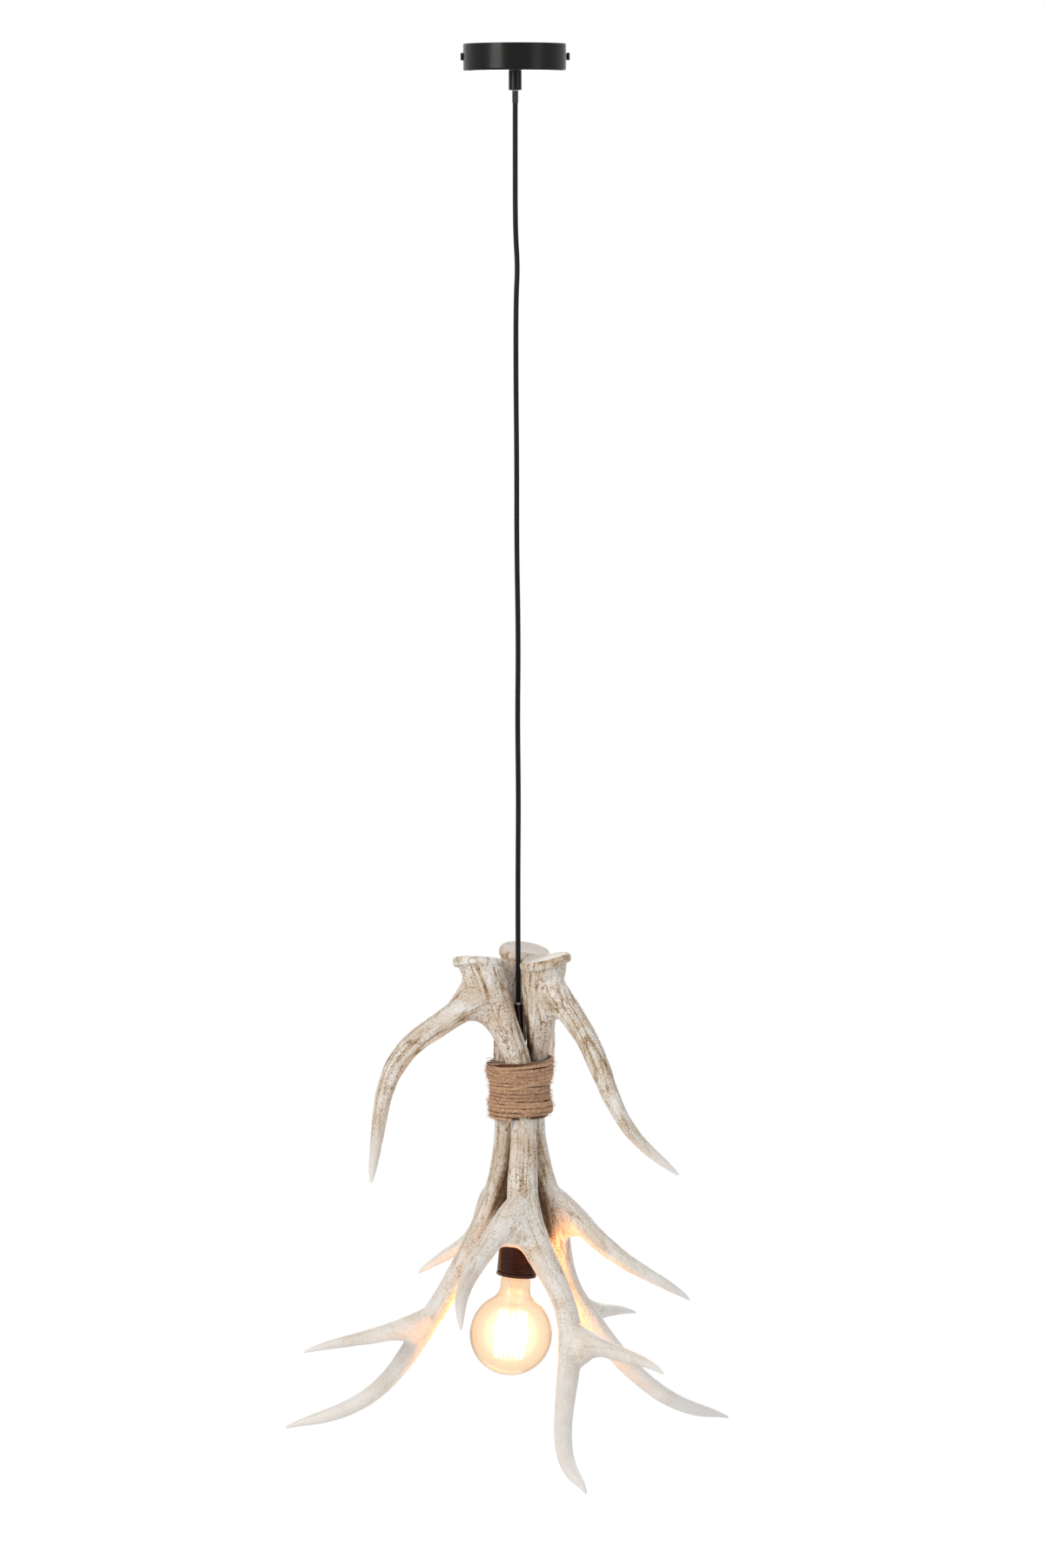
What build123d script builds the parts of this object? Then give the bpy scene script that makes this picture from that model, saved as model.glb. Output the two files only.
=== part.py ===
from build123d import *
import math
import os

# An antler pendant lamp, in millimetres, hung from a ceiling.
# The origin is on the ceiling, at the middle of the canopy. +Z is up, +X is to the right and
# -Y faces the viewer. Everything hangs below Z = 0.

# ---- Fits shared by many pieces ----
SEAT_GAP = 0.3            # between curved or soft faces that only lie together
SLIP = 0.1                # radial play of a screw, pin or tube in its hole
HAIR = 0.001              # keeps three points of a wire from lying exactly in line
BROKEN_EDGE = 0.3         # small roundings and chamfers
SOFT_EDGE = 0.6

# ---- Ceiling canopy and its bracket ----
CANOPY_D = 100.0
CANOPY_H = 26.0
CANOPY_WALL = 1.2
CANOPY_EDGE_R = 2.0       # rounding of the lower outer edge
STRAP_T = 1.5
STRAP_W = 18.0
EAR_DROP = 18.0           # how far the bent ears reach down from the ceiling
SIDE_SCREW_DROP = 12.0    # height of the two side screws below the ceiling
SIDE_SCREW_R = 2.0
SIDE_SCREW_L = 8.0
SIDE_HEAD_R = 3.75
SIDE_HEAD_T = 2.4
SCREW_SLOT_W = 0.9
SCREW_SLOT_DEPTH = 1.0
CEILING_SLOT_SPACING = 68.0
CEILING_SLOT_R = 2.5
CEILING_SLOT_L = 14.0

# ---- Electrical pieces inside the canopy ----
BLOCK_X = 17.0            # middle of the terminal block, along the strap
BLOCK_L = 17.0            # along the wires
BLOCK_W = 16.0
BLOCK_H = 10.0
POLE_PITCH = 8.0
POLE_TUBE_R = 2.4
POLE_BORE_R = 1.6
POLE_SCREW_R = 1.2
POLE_SCREW_X = 4.0        # each side of the block's middle
EARTH_X = -15.0
EARTH_SCREW_R = 2.0
EARTH_HEAD_R = 3.8
EARTH_HEAD_T = 2.6
LUG_R = 4.2
LUG_T = 0.8
LUG_TAIL_L = 7.0
GRUB_SLOT_W = 0.5
GRUB_SLOT_DEPTH = 0.6
GRUB_PROUD = 0.5          # terminal screws stand this far out of the block
CORE_R = 0.9              # insulated conductor
CORE_SPREAD = 1.4         # conductors from the cord's middle at the cut jacket
WIRE_LAP = 2.0            # how far a pole wire runs straight on each side of the block's face
WIRE_DIP = 0.5            # a wire's corner below the level it then rises to
EARTH_DROP = 3.0          # the earth wire's corner below its lug
EARTH_PAST = 1.5          # and beyond the lug's tail

# ---- Cord grip under the canopy ----
NIPPLE_R = 5.0            # M10 hollow threaded pipe
NIPPLE_BORE_R = 3.5
NIPPLE_ABOVE = 7.0        # reach above the canopy's floor
NIPPLE_BELOW = 8.0        # reach into the grip
NUT_ACROSS = 14.0
NUT_T = 3.0
GRIP_D = 12.6
GRIP_L = 18.0
GRIP_BORE_R = 3.0
GRIP_MOUTH_R = 5.2        # open chamber in which the cord bends
PIVOT_INSET = 2.4         # bending point above the grip's lower face
GRUB_R = 1.5
GRUB_SHORT = 0.4          # grub screw ends this far inside the grip's side

# ---- Cord ----
CORD_R = 2.5
JACKET_ABOVE = 2.5        # cut jacket above the nipple's top
COLLAR_D = 6.4
COLLAR_L = 12.0
LAMP_DROP = 930.0         # ceiling to the top of the lamp's centre tube
LAMP_X = 1.2              # the tube's top, beside and behind the canopy's middle: the lamp's
LAMP_Y = 4.0              # middle of weight is under the canopy, a little off the tube
LAMP_LEAN_X = -0.5        # degrees about X and Y by which the whole lamp leans
LAMP_LEAN_Y = -1.0
CORD_ROUTE = [            # sideways and down from the ceiling, between the two ends
    (-0.2, 100.0),
    (-0.4, 178.0),
    (1.8, 213.0),
    (0.0, 245.0),
    (-0.3, 320.0),
    (0.3, 405.0),
    (-0.1, 480.0),
    (1.2, 575.0),
    (0.1, 650.0),
    (0.8, 725.0),
    (0.0, 800.0),
    (-0.2, 868.0),
]
ARC_SHARE = 0.45          # share of the shorter run that an arc takes

# ---- Centre tube, its bush and the hub that the antlers are screwed to ----
TUBE_R = 5.0
TUBE_BORE_R = 4.0
TUBE_L = 196.0            # straight length down to the bend
TUBE_BEND = 6.4           # degrees
TUBE_BEND_R = 120.0
TUBE_TAIL = 14.0          # straight end below the bend, in the lampholder
BUSH_FLANGE_R = 5.6
BUSH_FLANGE_T = 1.6
BUSH_L = 8.0
HUB_R = 7.0
HUB_L = 14.0
BIND_DROP = 83.0          # middle of hub and binding, below the tube's top
ANTLER_SCREW_R = 2.0
ANTLER_HEAD_R = 3.8
ANTLER_HEAD_T = 2.4
ANTLER_SEAT_R = 20.5      # screw heads sit this far from the tube's axis
ANTLER_SCREW_TIP_R = 5.6

# ---- One antler, standing at azimuth 0 in the lamp's own frame ----
# The tube's top is the frame's origin. Each row is x, y, z, width across, thickness.
# x points out along the brow tine, and the width runs round the bundle.
BEAM = [
    (36.0, -10.0, 43.0, 44.0, 41.0),
    (31.0, -6.0, 25.0, 43.0, 38.0),
    (26.0, -1.0, 5.0, 38.0, 34.0),
    (20.0, 6.0, -19.0, 32.0, 28.0),
    (11.0, 13.0, -48.0, 25.0, 22.0),
    (6.0, 14.0, -89.0, 25.0, 21.0),
    (6.0, 15.0, -130.0, 27.0, 23.0),
    (12.0, 20.0, -170.0, 30.0, 25.0),
    (16.0, 30.0, -201.0, 33.0, 25.0),
    (9.0, 53.0, -245.0, 27.0, 24.0),
    (3.0, 81.0, -288.0, 23.0, 21.0),
    (14.0, 104.0, -325.0, 23.0, 21.0),
    (39.0, 133.0, -371.0, 19.0, 18.0),
    (67.0, 179.0, -410.0, 16.0, 15.5),
    (77.0, 212.0, -422.0, 11.5, 11.0),
    (84.0, 241.0, -431.0, 3.0, 3.0),
]
BROW_TINE = [
    (28.0, -3.0, 12.0, 30.0, 28.0),
    (54.0, -5.0, 5.0, 29.0, 27.0),
    (81.0, -15.0, -13.0, 23.0, 23.0),
    (116.0, -31.0, -44.0, 21.0, 21.0),
    (137.0, -31.0, -83.0, 16.5, 16.5),
    (157.0, -12.0, -123.0, 12.0, 12.0),
    (170.0, 4.0, -141.0, 8.5, 8.5),
    (180.0, 17.0, -154.0, 2.5, 2.5),
]
SECOND_TINE = [
    (14.0, 26.0, -186.0, 24.0, 20.0),
    (48.0, 34.0, -212.0, 25.0, 21.0),
    (84.0, 46.0, -243.0, 18.0, 17.0),
    (108.0, 64.0, -262.0, 14.0, 13.5),
    (124.0, 85.0, -277.0, 9.5, 9.5),
    (134.0, 102.0, -290.0, 2.5, 2.5),
]
THIRD_TINE = [
    (7.0, 92.0, -304.0, 18.0, 16.0),
    (1.0, 114.0, -314.0, 21.0, 19.0),
    (-5.0, 135.0, -319.0, 18.5, 17.5),
    (-14.0, 172.0, -324.0, 12.5, 12.5),
    (-18.0, 200.0, -328.0, 8.0, 8.0),
    (-18.0, 221.0, -333.0, 2.5, 2.5),
]
# The webs that round out the forks: x, y, z, height, thickness.
WEBS = [
    [(33.0, -8.0, 30.0, 32.0, 30.0), (46.0, -8.0, 17.0, 29.0, 27.0), (63.0, -9.0, 1.0, 24.0, 23.0)],
    [(22.0, 4.0, -28.0, 16.0, 14.0), (43.0, -3.0, -1.0, 23.0, 21.0), (64.0, -9.0, -5.0, 19.0, 19.0)],
    [(12.0, 46.0, -234.0, 16.0, 14.0), (31.0, 39.0, -214.0, 22.0, 18.0), (58.0, 38.0, -221.0, 17.0, 15.0)],
    [(17.0, 110.0, -333.0, 15.0, 13.0), (3.0, 119.0, -322.0, 19.0, 16.0), (-7.0, 142.0, -321.0, 14.0, 13.0)],
]
BURR_AT = (37.0, -11.0, 48.0)
BURR_D = 49.0
BURR_T = 8.0
BURR_ROUND = 2.4
BURR_TILT = 14.0          # degrees off level
BURR_TILT_TOWARDS = -140.0

# Each antler: azimuth in the bundle, small leans about X and Y, and how far it is raised.
ANTLERS = {
    "antler_front": (211.4, -0.3, -0.2, -1.9),
    "antler_right": (322.6, -1.5, 1.7, 0.0),
    "antler_left": (93.0, 1.3, -0.7, 0.5),
}

# ---- Twine binding ----
TWINE_R = 1.55
TWINE_TURNS = 15
TWINE_PITCH = 3.62
TWINE_WAIST_R = 27.9      # centreline radius at the waist
TWINE_TOP_FLARE = 3.3
TWINE_FLARE_FROM = 2.0    # height above the binding's middle where the flare starts
TWINE_FLARE_RISE = 18.0
TWINE_FOOT_BULGE = 1.6
TWINE_BULGE_AT = -20.0
TWINE_BULGE_SPREAD = 9.0
TWINE_CORE_R = 19.0       # inside of the under-layers

# ---- Lampholder, in its own frame below the tube's end ----
HOLDER_UP = 9.0           # how far the tube's end reaches into the cap
CAP_NECK_R = 8.0
CAP_NECK_L = 7.0
CAP_WALL = 1.2
CAP_L = 22.0
SKIRT_R = 19.5            # crest of the outside thread
SKIRT_WALL = 1.5
SKIRT_L = 36.0
SKIRT_LAP = 4.0           # the cap's rim inside the skirt
THREAD_PITCH = 2.5
THREAD_DEPTH = 0.8
RIM_L = 3.0
INSERT_T = 11.0
SHELL_R = 13.4            # inside of the screw shell
SHELL_WALL = 0.6
SHELL_L = 25.0
CONTACT_W = 6.0
CONTACT_T = 0.6
HOLDER_SCREW_R = 1.5
HOLDER_SCREW_X = 8.5
HOLDER_WIRE_DROP = 2.2    # where a conductor turns aside, above the insert's channel
HOLDER_WIRE_ASIDE = 3.2

# ---- Lamp bulb: a clear globe on a 27 mm Edison cap ----
BULB_CAP_R = 12.7         # mean of the cap's thread
BULB_CAP_WALL = 0.5
BULB_CAP_L = 22.0
BULB_INSULATOR_L = 3.0
BUTTON_R = 4.8
BUTTON_T = 1.6
GLASS_WALL = 0.8
NECK_R = 14.8
NECK_L = 10.0             # straight neck below the cap's rim
SHOULDER_R = 16.0         # hollow curve between neck and globe
FUSED_CONE = 3.0          # height of the cone from the fused rim out to the neck
GLOBE_R = 40.5
STEM_R = 4.0
STEM_L = 38.0
STEM_FOOT_R = 9.0
STEM_FOOT_H = 3.0
STEM_CONE_H = 14.0
FILAMENTS = 6
FILAMENT_R = 0.9
FILAMENT_L = 45.0
FILAMENT_LAP = 4.0        # how far the sticks reach up beside the stem
POST_PAST = 2.0           # how far the middle post reaches below the sticks
FILAMENT_CIRCLE_R = 10.0
WIRE_R = 0.4


# ---- Levels that follow from the sizes above ----
FLOOR_Z = -CANOPY_H                                # outer face of the canopy's floor
FLOOR_IN_Z = FLOOR_Z + CANOPY_WALL
GRIP_END_Z = FLOOR_Z - GRIP_L
PIVOT_Z = GRIP_END_Z + PIVOT_INSET
MOUTH_TOP_Z = PIVOT_Z + CORD_R + SEAT_GAP
CORD_TOP_Z = PIVOT_Z - CORD_R - SEAT_GAP
NIPPLE_TOP_Z = FLOOR_IN_Z + NIPPLE_ABOVE
JACKET_TOP_Z = NIPPLE_TOP_Z + JACKET_ABOVE
BRACKET_R = CANOPY_D / 2 - CANOPY_WALL - SEAT_GAP  # reach of the ears' corners
EAR_X = math.sqrt(BRACKET_R ** 2 - (STRAP_W / 2) ** 2)
STRAP_Z = -STRAP_T
BUSH_TOP = BUSH_FLANGE_T                           # in the lamp's frame
CORD_END_Z = -LAMP_DROP + BUSH_TOP + 2 * SEAT_GAP

LAMP = Pos(LAMP_X, LAMP_Y, -LAMP_DROP) * Rot(LAMP_LEAN_X, LAMP_LEAN_Y, 0)


def tube(r_out, r_in, top, bottom):
    """A round tube about Z between two heights."""
    ring = Circle(r_out) - Circle(r_in)
    return extrude(Plane.XY.offset(bottom) * ring, top - bottom)


def rod(radius, top, bottom):
    """A round bar about Z between two heights."""
    return extrude(Plane.XY.offset(bottom) * Circle(radius), top - bottom)


def spun(points):
    """A solid turned about Z from an outline of (radius, height) points."""
    outline = Polyline(*[(r, 0, z) for r, z in points], close=True)
    return revolve(make_face(outline), Axis.Z)


def route_radii(points):
    """One radius per corner: as large as the two runs beside it allow."""
    radii = []
    for before, here, after in zip(points, points[1:], points[2:]):
        run_in = Vector(*here) - Vector(*before)
        run_out = Vector(*after) - Vector(*here)
        half_turn = math.radians(run_in.get_angle(run_out)) / 2
        shorter = min(run_in.length, run_out.length)
        radii.append(ARC_SHARE * shorter / math.tan(half_turn))
    return radii


def cable(points, radius, label):
    """A round cord along straight runs joined by tangent arcs."""
    radii = route_radii(points)
    path = FilletPolyline(*points, radius=radii)
    section = Plane(origin=path @ 0, z_dir=path % 0) * Circle(radius)
    solid = sweep(section, path)
    expected = math.pi * radius ** 2 * path.length
    print(label, "length", round(path.length, 1), "least radius", round(min(radii), 1),
          "volume share", round(solid.volume / expected, 4))
    return solid


# ---- Canopy ----
def make_canopy_shell():
    half = CANOPY_D / 2
    cup = rod(half, 0, FLOOR_Z)
    cup = fillet(cup.edges().sort_by(Axis.Z)[0], CANOPY_EDGE_R)
    inside_edge = max(CANOPY_EDGE_R - CANOPY_WALL, CANOPY_WALL / 2)
    inside = rod(half - CANOPY_WALL, 1, FLOOR_IN_Z)
    inside = fillet(inside.edges().sort_by(Axis.Z)[0], inside_edge)
    cup -= inside
    cup -= rod(NIPPLE_R + SLIP, 0, FLOOR_Z - 1)
    hole = Pos(0, 0, -SIDE_SCREW_DROP) * Rot(0, 90, 0) * Cylinder(SIDE_SCREW_R + SLIP, CANOPY_D + 2)
    return cup - hole


def make_bracket():
    plate = Pos(0, 0, STRAP_Z / 2) * Box(2 * EAR_X, STRAP_W, STRAP_T)
    for side in (-1, 1):
        ear_x = side * (EAR_X - STRAP_T / 2)
        plate += Pos(ear_x, 0, -EAR_DROP / 2) * Box(STRAP_T, STRAP_W, EAR_DROP)
        slot = SlotOverall(CEILING_SLOT_L, 2 * CEILING_SLOT_R)
        slot_x = side * CEILING_SLOT_SPACING / 2
        plate -= extrude(Pos(slot_x, 0, STRAP_Z - 1) * slot, STRAP_T + 2)
    plate -= Pos(0, 0, -SIDE_SCREW_DROP) * Rot(0, 90, 0) * Cylinder(SIDE_SCREW_R + SLIP, CANOPY_D)
    plate -= Pos(EARTH_X, 0, STRAP_Z) * Cylinder(EARTH_SCREW_R + SLIP, 4 * STRAP_T)
    return plate


def pan_screw(head_r, head_t, shank_r, shank_l):
    """A slotted pan-head screw: head from Z = 0 up, shank below."""
    head = rod(head_r, head_t, 0)
    head = fillet(head.edges().sort_by(Axis.Z)[-1], head_t * 0.4)
    head -= Pos(0, 0, head_t) * Box(3 * head_r, SCREW_SLOT_W, 2 * SCREW_SLOT_DEPTH)
    shank = rod(shank_r, 0, -shank_l)
    shank = chamfer(shank.edges().sort_by(Axis.Z)[0], shank_r * 0.3)
    return head + shank


def make_side_screws():
    screw = pan_screw(SIDE_HEAD_R, SIDE_HEAD_T, SIDE_SCREW_R, SIDE_SCREW_L)
    seat = CANOPY_D / 2 + SLIP / 2
    return [Pos(side * seat, 0, -SIDE_SCREW_DROP) * Rot(0, side * 90, 0) * screw for side in (-1, 1)]


# ---- Wiring in the canopy ----
def pole_places():
    return [(BLOCK_X, side * POLE_PITCH / 2, STRAP_Z - BLOCK_H / 2) for side in (-1, 1)]


def make_terminal_block():
    block = Pos(BLOCK_X, 0, STRAP_Z - BLOCK_H / 2) * Box(BLOCK_L, BLOCK_W, BLOCK_H)
    block = fillet(block.edges().filter_by(Axis.Z), SOFT_EDGE)
    for x, y, z in pole_places():
        block -= Pos(x, y, z) * Rot(0, 90, 0) * Cylinder(POLE_TUBE_R + SLIP / 2, BLOCK_L + 2)
        for side in (-1, 1):
            well = rod(POLE_SCREW_R + 2 * SLIP, z, STRAP_Z - BLOCK_H - 1)
            block -= Pos(x + side * POLE_SCREW_X, y, 0) * well
    return block


def make_terminal_tubes():
    tubes = []
    for x, y, z in pole_places():
        sleeve = Rot(0, 90, 0) * Cylinder(POLE_TUBE_R, BLOCK_L - 2)
        sleeve -= Rot(0, 90, 0) * Cylinder(POLE_BORE_R, BLOCK_L)
        for side in (-1, 1):
            sleeve -= Pos(side * POLE_SCREW_X, 0, 0) * rod(POLE_SCREW_R + SLIP, 0, -BLOCK_H)
        tubes.append(Pos(x, y, z) * sleeve)
    return tubes


def make_terminal_screws():
    screws = []
    for x, y, z in pole_places():
        for side in (-1, 1):
            grub = rod(POLE_SCREW_R, z - CORE_R - SLIP, STRAP_Z - BLOCK_H + GRUB_PROUD)
            grub -= Pos(0, 0, STRAP_Z - BLOCK_H + GRUB_PROUD) * Box(4 * POLE_SCREW_R, GRUB_SLOT_W, 2 * GRUB_SLOT_DEPTH)
            screws.append(Pos(x + side * POLE_SCREW_X, y, 0) * grub)
    return screws


def make_earth_screw():
    screw = Rot(180, 0, 0) * pan_screw(EARTH_HEAD_R, EARTH_HEAD_T, EARTH_SCREW_R, STRAP_T + LUG_T)
    return Pos(EARTH_X, 0, STRAP_Z - LUG_T) * screw


def make_earth_lug():
    lug = Cylinder(LUG_R, LUG_T) + Pos(LUG_TAIL_L / 2, 0, 0) * Box(LUG_TAIL_L, 3 * CORE_R, LUG_T)
    lug -= Cylinder(EARTH_SCREW_R + SLIP, 2 * LUG_T)
    return Pos(EARTH_X, 0, STRAP_Z - LUG_T / 2) * lug


def make_canopy_wires():
    start = JACKET_TOP_Z + SLIP
    wires = []
    for x, y, z in pole_places():
        side = math.copysign(1, y)
        first = (CORE_SPREAD * 0.6, side * CORE_SPREAD * 0.8, start)
        bend = (CORE_SPREAD * 1.2, side * CORE_SPREAD * 1.2, z - WIRE_DIP)
        block_face = BLOCK_X - BLOCK_L / 2
        into = (block_face - WIRE_LAP, y, z)
        end = (BLOCK_X + POLE_SCREW_X + WIRE_LAP, y + HAIR, z)
        wires.append(cable([first, bend, into, end], CORE_R, "pole wire"))
    lug_end = EARTH_X + LUG_TAIL_L
    lug_z = STRAP_Z - LUG_T - CORE_R - SLIP
    earth = [
        (-CORE_SPREAD, 0, start),
        (-CORE_SPREAD - WIRE_DIP, 0, lug_z - EARTH_DROP),
        (lug_end + EARTH_PAST, 0, lug_z - WIRE_DIP),
        (lug_end - 2 * EARTH_PAST, 0, lug_z),
    ]
    wires.append(cable(earth, CORE_R, "earth wire"))
    return wires


# ---- Cord grip ----
def make_nipple():
    return tube(NIPPLE_R, NIPPLE_BORE_R, NIPPLE_TOP_Z, FLOOR_Z - NIPPLE_BELOW)


def hex_nut(hole_r, thickness):
    nut = extrude(RegularPolygon(NUT_ACROSS / 2, 6, major_radius=False), thickness)
    return nut - Pos(0, 0, thickness / 2) * Cylinder(hole_r, 2 * thickness)


def make_grip_locknut():
    return Pos(0, 0, FLOOR_IN_Z) * hex_nut(NIPPLE_R + SLIP, NUT_T)


def make_cord_grip():
    body = rod(GRIP_D / 2, FLOOR_Z, GRIP_END_Z)
    body = fillet(body.edges().sort_by(Axis.Z)[0], SOFT_EDGE)
    body -= rod(NIPPLE_R + SLIP, FLOOR_Z, FLOOR_Z - NIPPLE_BELOW - SEAT_GAP)
    body -= rod(GRIP_BORE_R, FLOOR_Z, GRIP_END_Z)
    body -= rod(GRIP_MOUTH_R, MOUTH_TOP_Z, GRIP_END_Z - 1)
    return body - grub_bore(GRUB_R + SLIP, 0)


def grub_level():
    return (FLOOR_Z - NIPPLE_BELOW - SEAT_GAP + MOUTH_TOP_Z) / 2


def grub_bore(radius, short):
    """A round bar along +Y from the cord's skin to the grip's side, less a little."""
    start = CORD_R + SLIP
    length = GRIP_D / 2 - short - start
    return Pos(0, start + length / 2, grub_level()) * Rot(90, 0, 0) * Cylinder(radius, length)


def make_grip_screw():
    grub = grub_bore(GRUB_R, GRUB_SHORT)
    face = GRIP_D / 2 - GRUB_SHORT
    return grub - Pos(0, face, grub_level()) * Box(3 * GRUB_R, 2 * GRUB_SLOT_DEPTH, GRUB_SLOT_W)


# ---- Cord ----
def make_cord_in_canopy():
    return rod(CORD_R, JACKET_TOP_Z, MOUTH_TOP_Z)


def make_cord_bend():
    """The short bit of cord that flexes in the grip's mouth, kept as a ball on the bending point."""
    return Pos(0, 0, PIVOT_Z) * Sphere(CORD_R)


def make_cord_collar():
    return tube(COLLAR_D / 2, CORD_R + SLIP / 2, CORD_TOP_Z, CORD_TOP_Z - COLLAR_L)


def make_cord():
    exit_point = (0, 0, CORD_TOP_Z)
    end_point = (LAMP_X, LAMP_Y, CORD_END_Z)
    run = end_point[2] - exit_point[2]
    points = [exit_point]
    for side, drop in CORD_ROUTE:
        share = (-drop - exit_point[2]) / run
        points.append((LAMP_X * share + side, LAMP_Y * share, -drop))
    points.append(end_point)
    return cable(points, CORD_R, "cord")


# ---- Lamp: tube, bush and hub, in the lamp's frame ----
def tube_path():
    """The tube's axis: straight, a slight bend towards -X, and a straight tail."""
    centre = (-TUBE_BEND_R, 0, -TUBE_L)
    turn = math.radians(TUBE_BEND)

    def on_bend(angle):
        return (centre[0] + TUBE_BEND_R * math.cos(angle), 0, centre[2] - TUBE_BEND_R * math.sin(angle))

    start = (0, 0, -TUBE_L)
    middle, end = on_bend(turn / 2), on_bend(turn)
    tail_end = (end[0] - TUBE_TAIL * math.sin(turn), 0, end[2] - TUBE_TAIL * math.cos(turn))
    return Line((0, 0, 0), start) + ThreePointArc(start, middle, end) + Line(end, tail_end), tail_end


TUBE_PATH, TUBE_END = tube_path()
HOLDER = Pos(*TUBE_END) * Rot(0, TUBE_BEND, 0) * Pos(0, 0, HOLDER_UP)


def make_tube():
    ring = Plane.XY * (Circle(TUBE_R) - Circle(TUBE_BORE_R))
    return sweep(ring, TUBE_PATH)


def make_bush():
    flange = tube(BUSH_FLANGE_R, CORD_R + SEAT_GAP, BUSH_FLANGE_T, 0)
    flange = fillet(flange.edges().sort_by(Axis.Z)[-1], BROKEN_EDGE)
    return flange + tube(TUBE_BORE_R - SLIP, CORD_R + SEAT_GAP, 0, -BUSH_L)


def make_cord_in_tube():
    """The cord from the bush down to where its jacket is cut in the lampholder."""
    path = Line((0, 0, BUSH_TOP), (0, 0, 0)) + TUBE_PATH
    return sweep(Plane.XY.offset(BUSH_TOP) * Circle(CORD_R), path)


def antler_screw_azimuth(azimuth):
    x, y = BEAM[5][0], BEAM[5][1]
    return azimuth + math.degrees(math.atan2(y, x))


def radial(azimuth):
    """Turns a piece built along +Z so that it points out from the tube at the binding's height."""
    return Pos(0, 0, -BIND_DROP) * Rot(0, 0, azimuth) * Rot(0, 90, 0)


def make_hub():
    hub = tube(HUB_R, TUBE_R + SLIP, HUB_L / 2, -HUB_L / 2)
    hub = chamfer(hub.edges().group_by(Axis.Z)[-1] + hub.edges().group_by(Axis.Z)[0], BROKEN_EDGE)
    hub = Pos(0, 0, -BIND_DROP) * hub
    for azimuth, *_ in ANTLERS.values():
        hub -= radial(antler_screw_azimuth(azimuth)) * rod(ANTLER_SCREW_R + SLIP, 2 * HUB_R, 0)
    return hub


def make_antler_screws():
    screws = []
    for azimuth, *_ in ANTLERS.values():
        length = ANTLER_SEAT_R - ANTLER_SCREW_TIP_R
        screw = pan_screw(ANTLER_HEAD_R, ANTLER_HEAD_T, ANTLER_SCREW_R, length)
        screws.append(radial(antler_screw_azimuth(azimuth)) * Pos(0, 0, ANTLER_SEAT_R) * screw)
    return screws


# ---- Antlers ----
def limb(rows, upright=False, grow=0.0):
    """A smooth limb through ellipses square to its run, their width round the bundle or upright."""
    points = [Vector(x, y, z) for x, y, z, _, _ in rows]
    sections = []
    for i, (here, row) in enumerate(zip(points, rows)):
        before = points[max(i - 1, 0)]
        after = points[min(i + 1, len(points) - 1)]
        run = (after - before).normalized()
        width_way = Vector(0, 0, 1) if upright else Vector(-here.Y, here.X, 0).normalized()
        across = (width_way - run * width_way.dot(run)).normalized()
        plane = Plane(origin=here, x_dir=across, z_dir=run) * Rot(0, 0, 90)
        width, thickness = row[3] + 2 * grow, row[4] + 2 * grow
        sections.append(plane * Ellipse(thickness / 2, width / 2))
    return loft(sections)


def make_burr():
    tilt = math.radians(BURR_TILT)
    towards = math.radians(BURR_TILT_TOWARDS)
    up = (math.sin(tilt) * math.cos(towards), math.sin(tilt) * math.sin(towards), math.cos(tilt))
    disc = rod(BURR_D / 2, 0, -BURR_T)
    disc = fillet(disc.edges(), BURR_ROUND)
    return Plane(origin=BURR_AT, z_dir=up) * disc


def make_casting():
    """One antler as it is cast. All three are the same casting."""
    whole = limb(BEAM) + make_burr()
    for tine in (BROW_TINE, SECOND_TINE, THIRD_TINE):
        whole += limb(tine)
    for web in WEBS:
        whole += limb(web, upright=True)
    return whole


def placed(name, form):
    """Turns a casting to its place in the bundle, leaning about the binding's middle."""
    azimuth, lean_x, lean_y, raised = ANTLERS[name]
    pivot = Pos(0, 0, -BIND_DROP)
    return pivot * Rot(lean_x, lean_y, 0) * Pos(0, 0, raised) * Rot(0, 0, azimuth) * Pos(0, 0, BIND_DROP) * form


def make_antler(name, casting):
    antler = placed(name, casting)
    antler -= rod(TUBE_R + SEAT_GAP, BURR_AT[2], -TUBE_L)
    antler -= rod(BUSH_FLANGE_R + SEAT_GAP, BURR_AT[2], -SEAT_GAP)
    antler -= Pos(0, 0, -BIND_DROP) * rod(HUB_R + SEAT_GAP, HUB_L / 2 + SEAT_GAP, -HUB_L / 2 - SEAT_GAP)
    drill = rod(ANTLER_SCREW_R + SLIP, ANTLER_SEAT_R + 1, 0) + rod(
        ANTLER_HEAD_R + SEAT_GAP, ANTLER_SEAT_R + BURR_D, ANTLER_SEAT_R)
    return antler - radial(antler_screw_azimuth(ANTLERS[name][0])) * drill


# ---- Twine binding ----
def twine_radius(height):
    """Centreline radius of the outer layer at a height above the binding's middle."""
    rise = min(max((height - TWINE_FLARE_FROM) / TWINE_FLARE_RISE, 0), 1)
    flare = TWINE_TOP_FLARE * rise * rise * (3 - 2 * rise)
    bulge = TWINE_FOOT_BULGE * math.exp(-((height - TWINE_BULGE_AT) / TWINE_BULGE_SPREAD) ** 2)
    return TWINE_WAIST_R + flare + bulge


def twine_point(turns):
    height = TWINE_PITCH * (TWINE_TURNS / 2 - turns)
    angle = 2 * math.pi * turns
    radius = twine_radius(height)
    return Vector(radius * math.cos(angle), radius * math.sin(angle), height - BIND_DROP)


def twine_run(turns):
    step = 0.001
    return (twine_point(turns + step) - twine_point(turns - step)).normalized()


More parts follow.
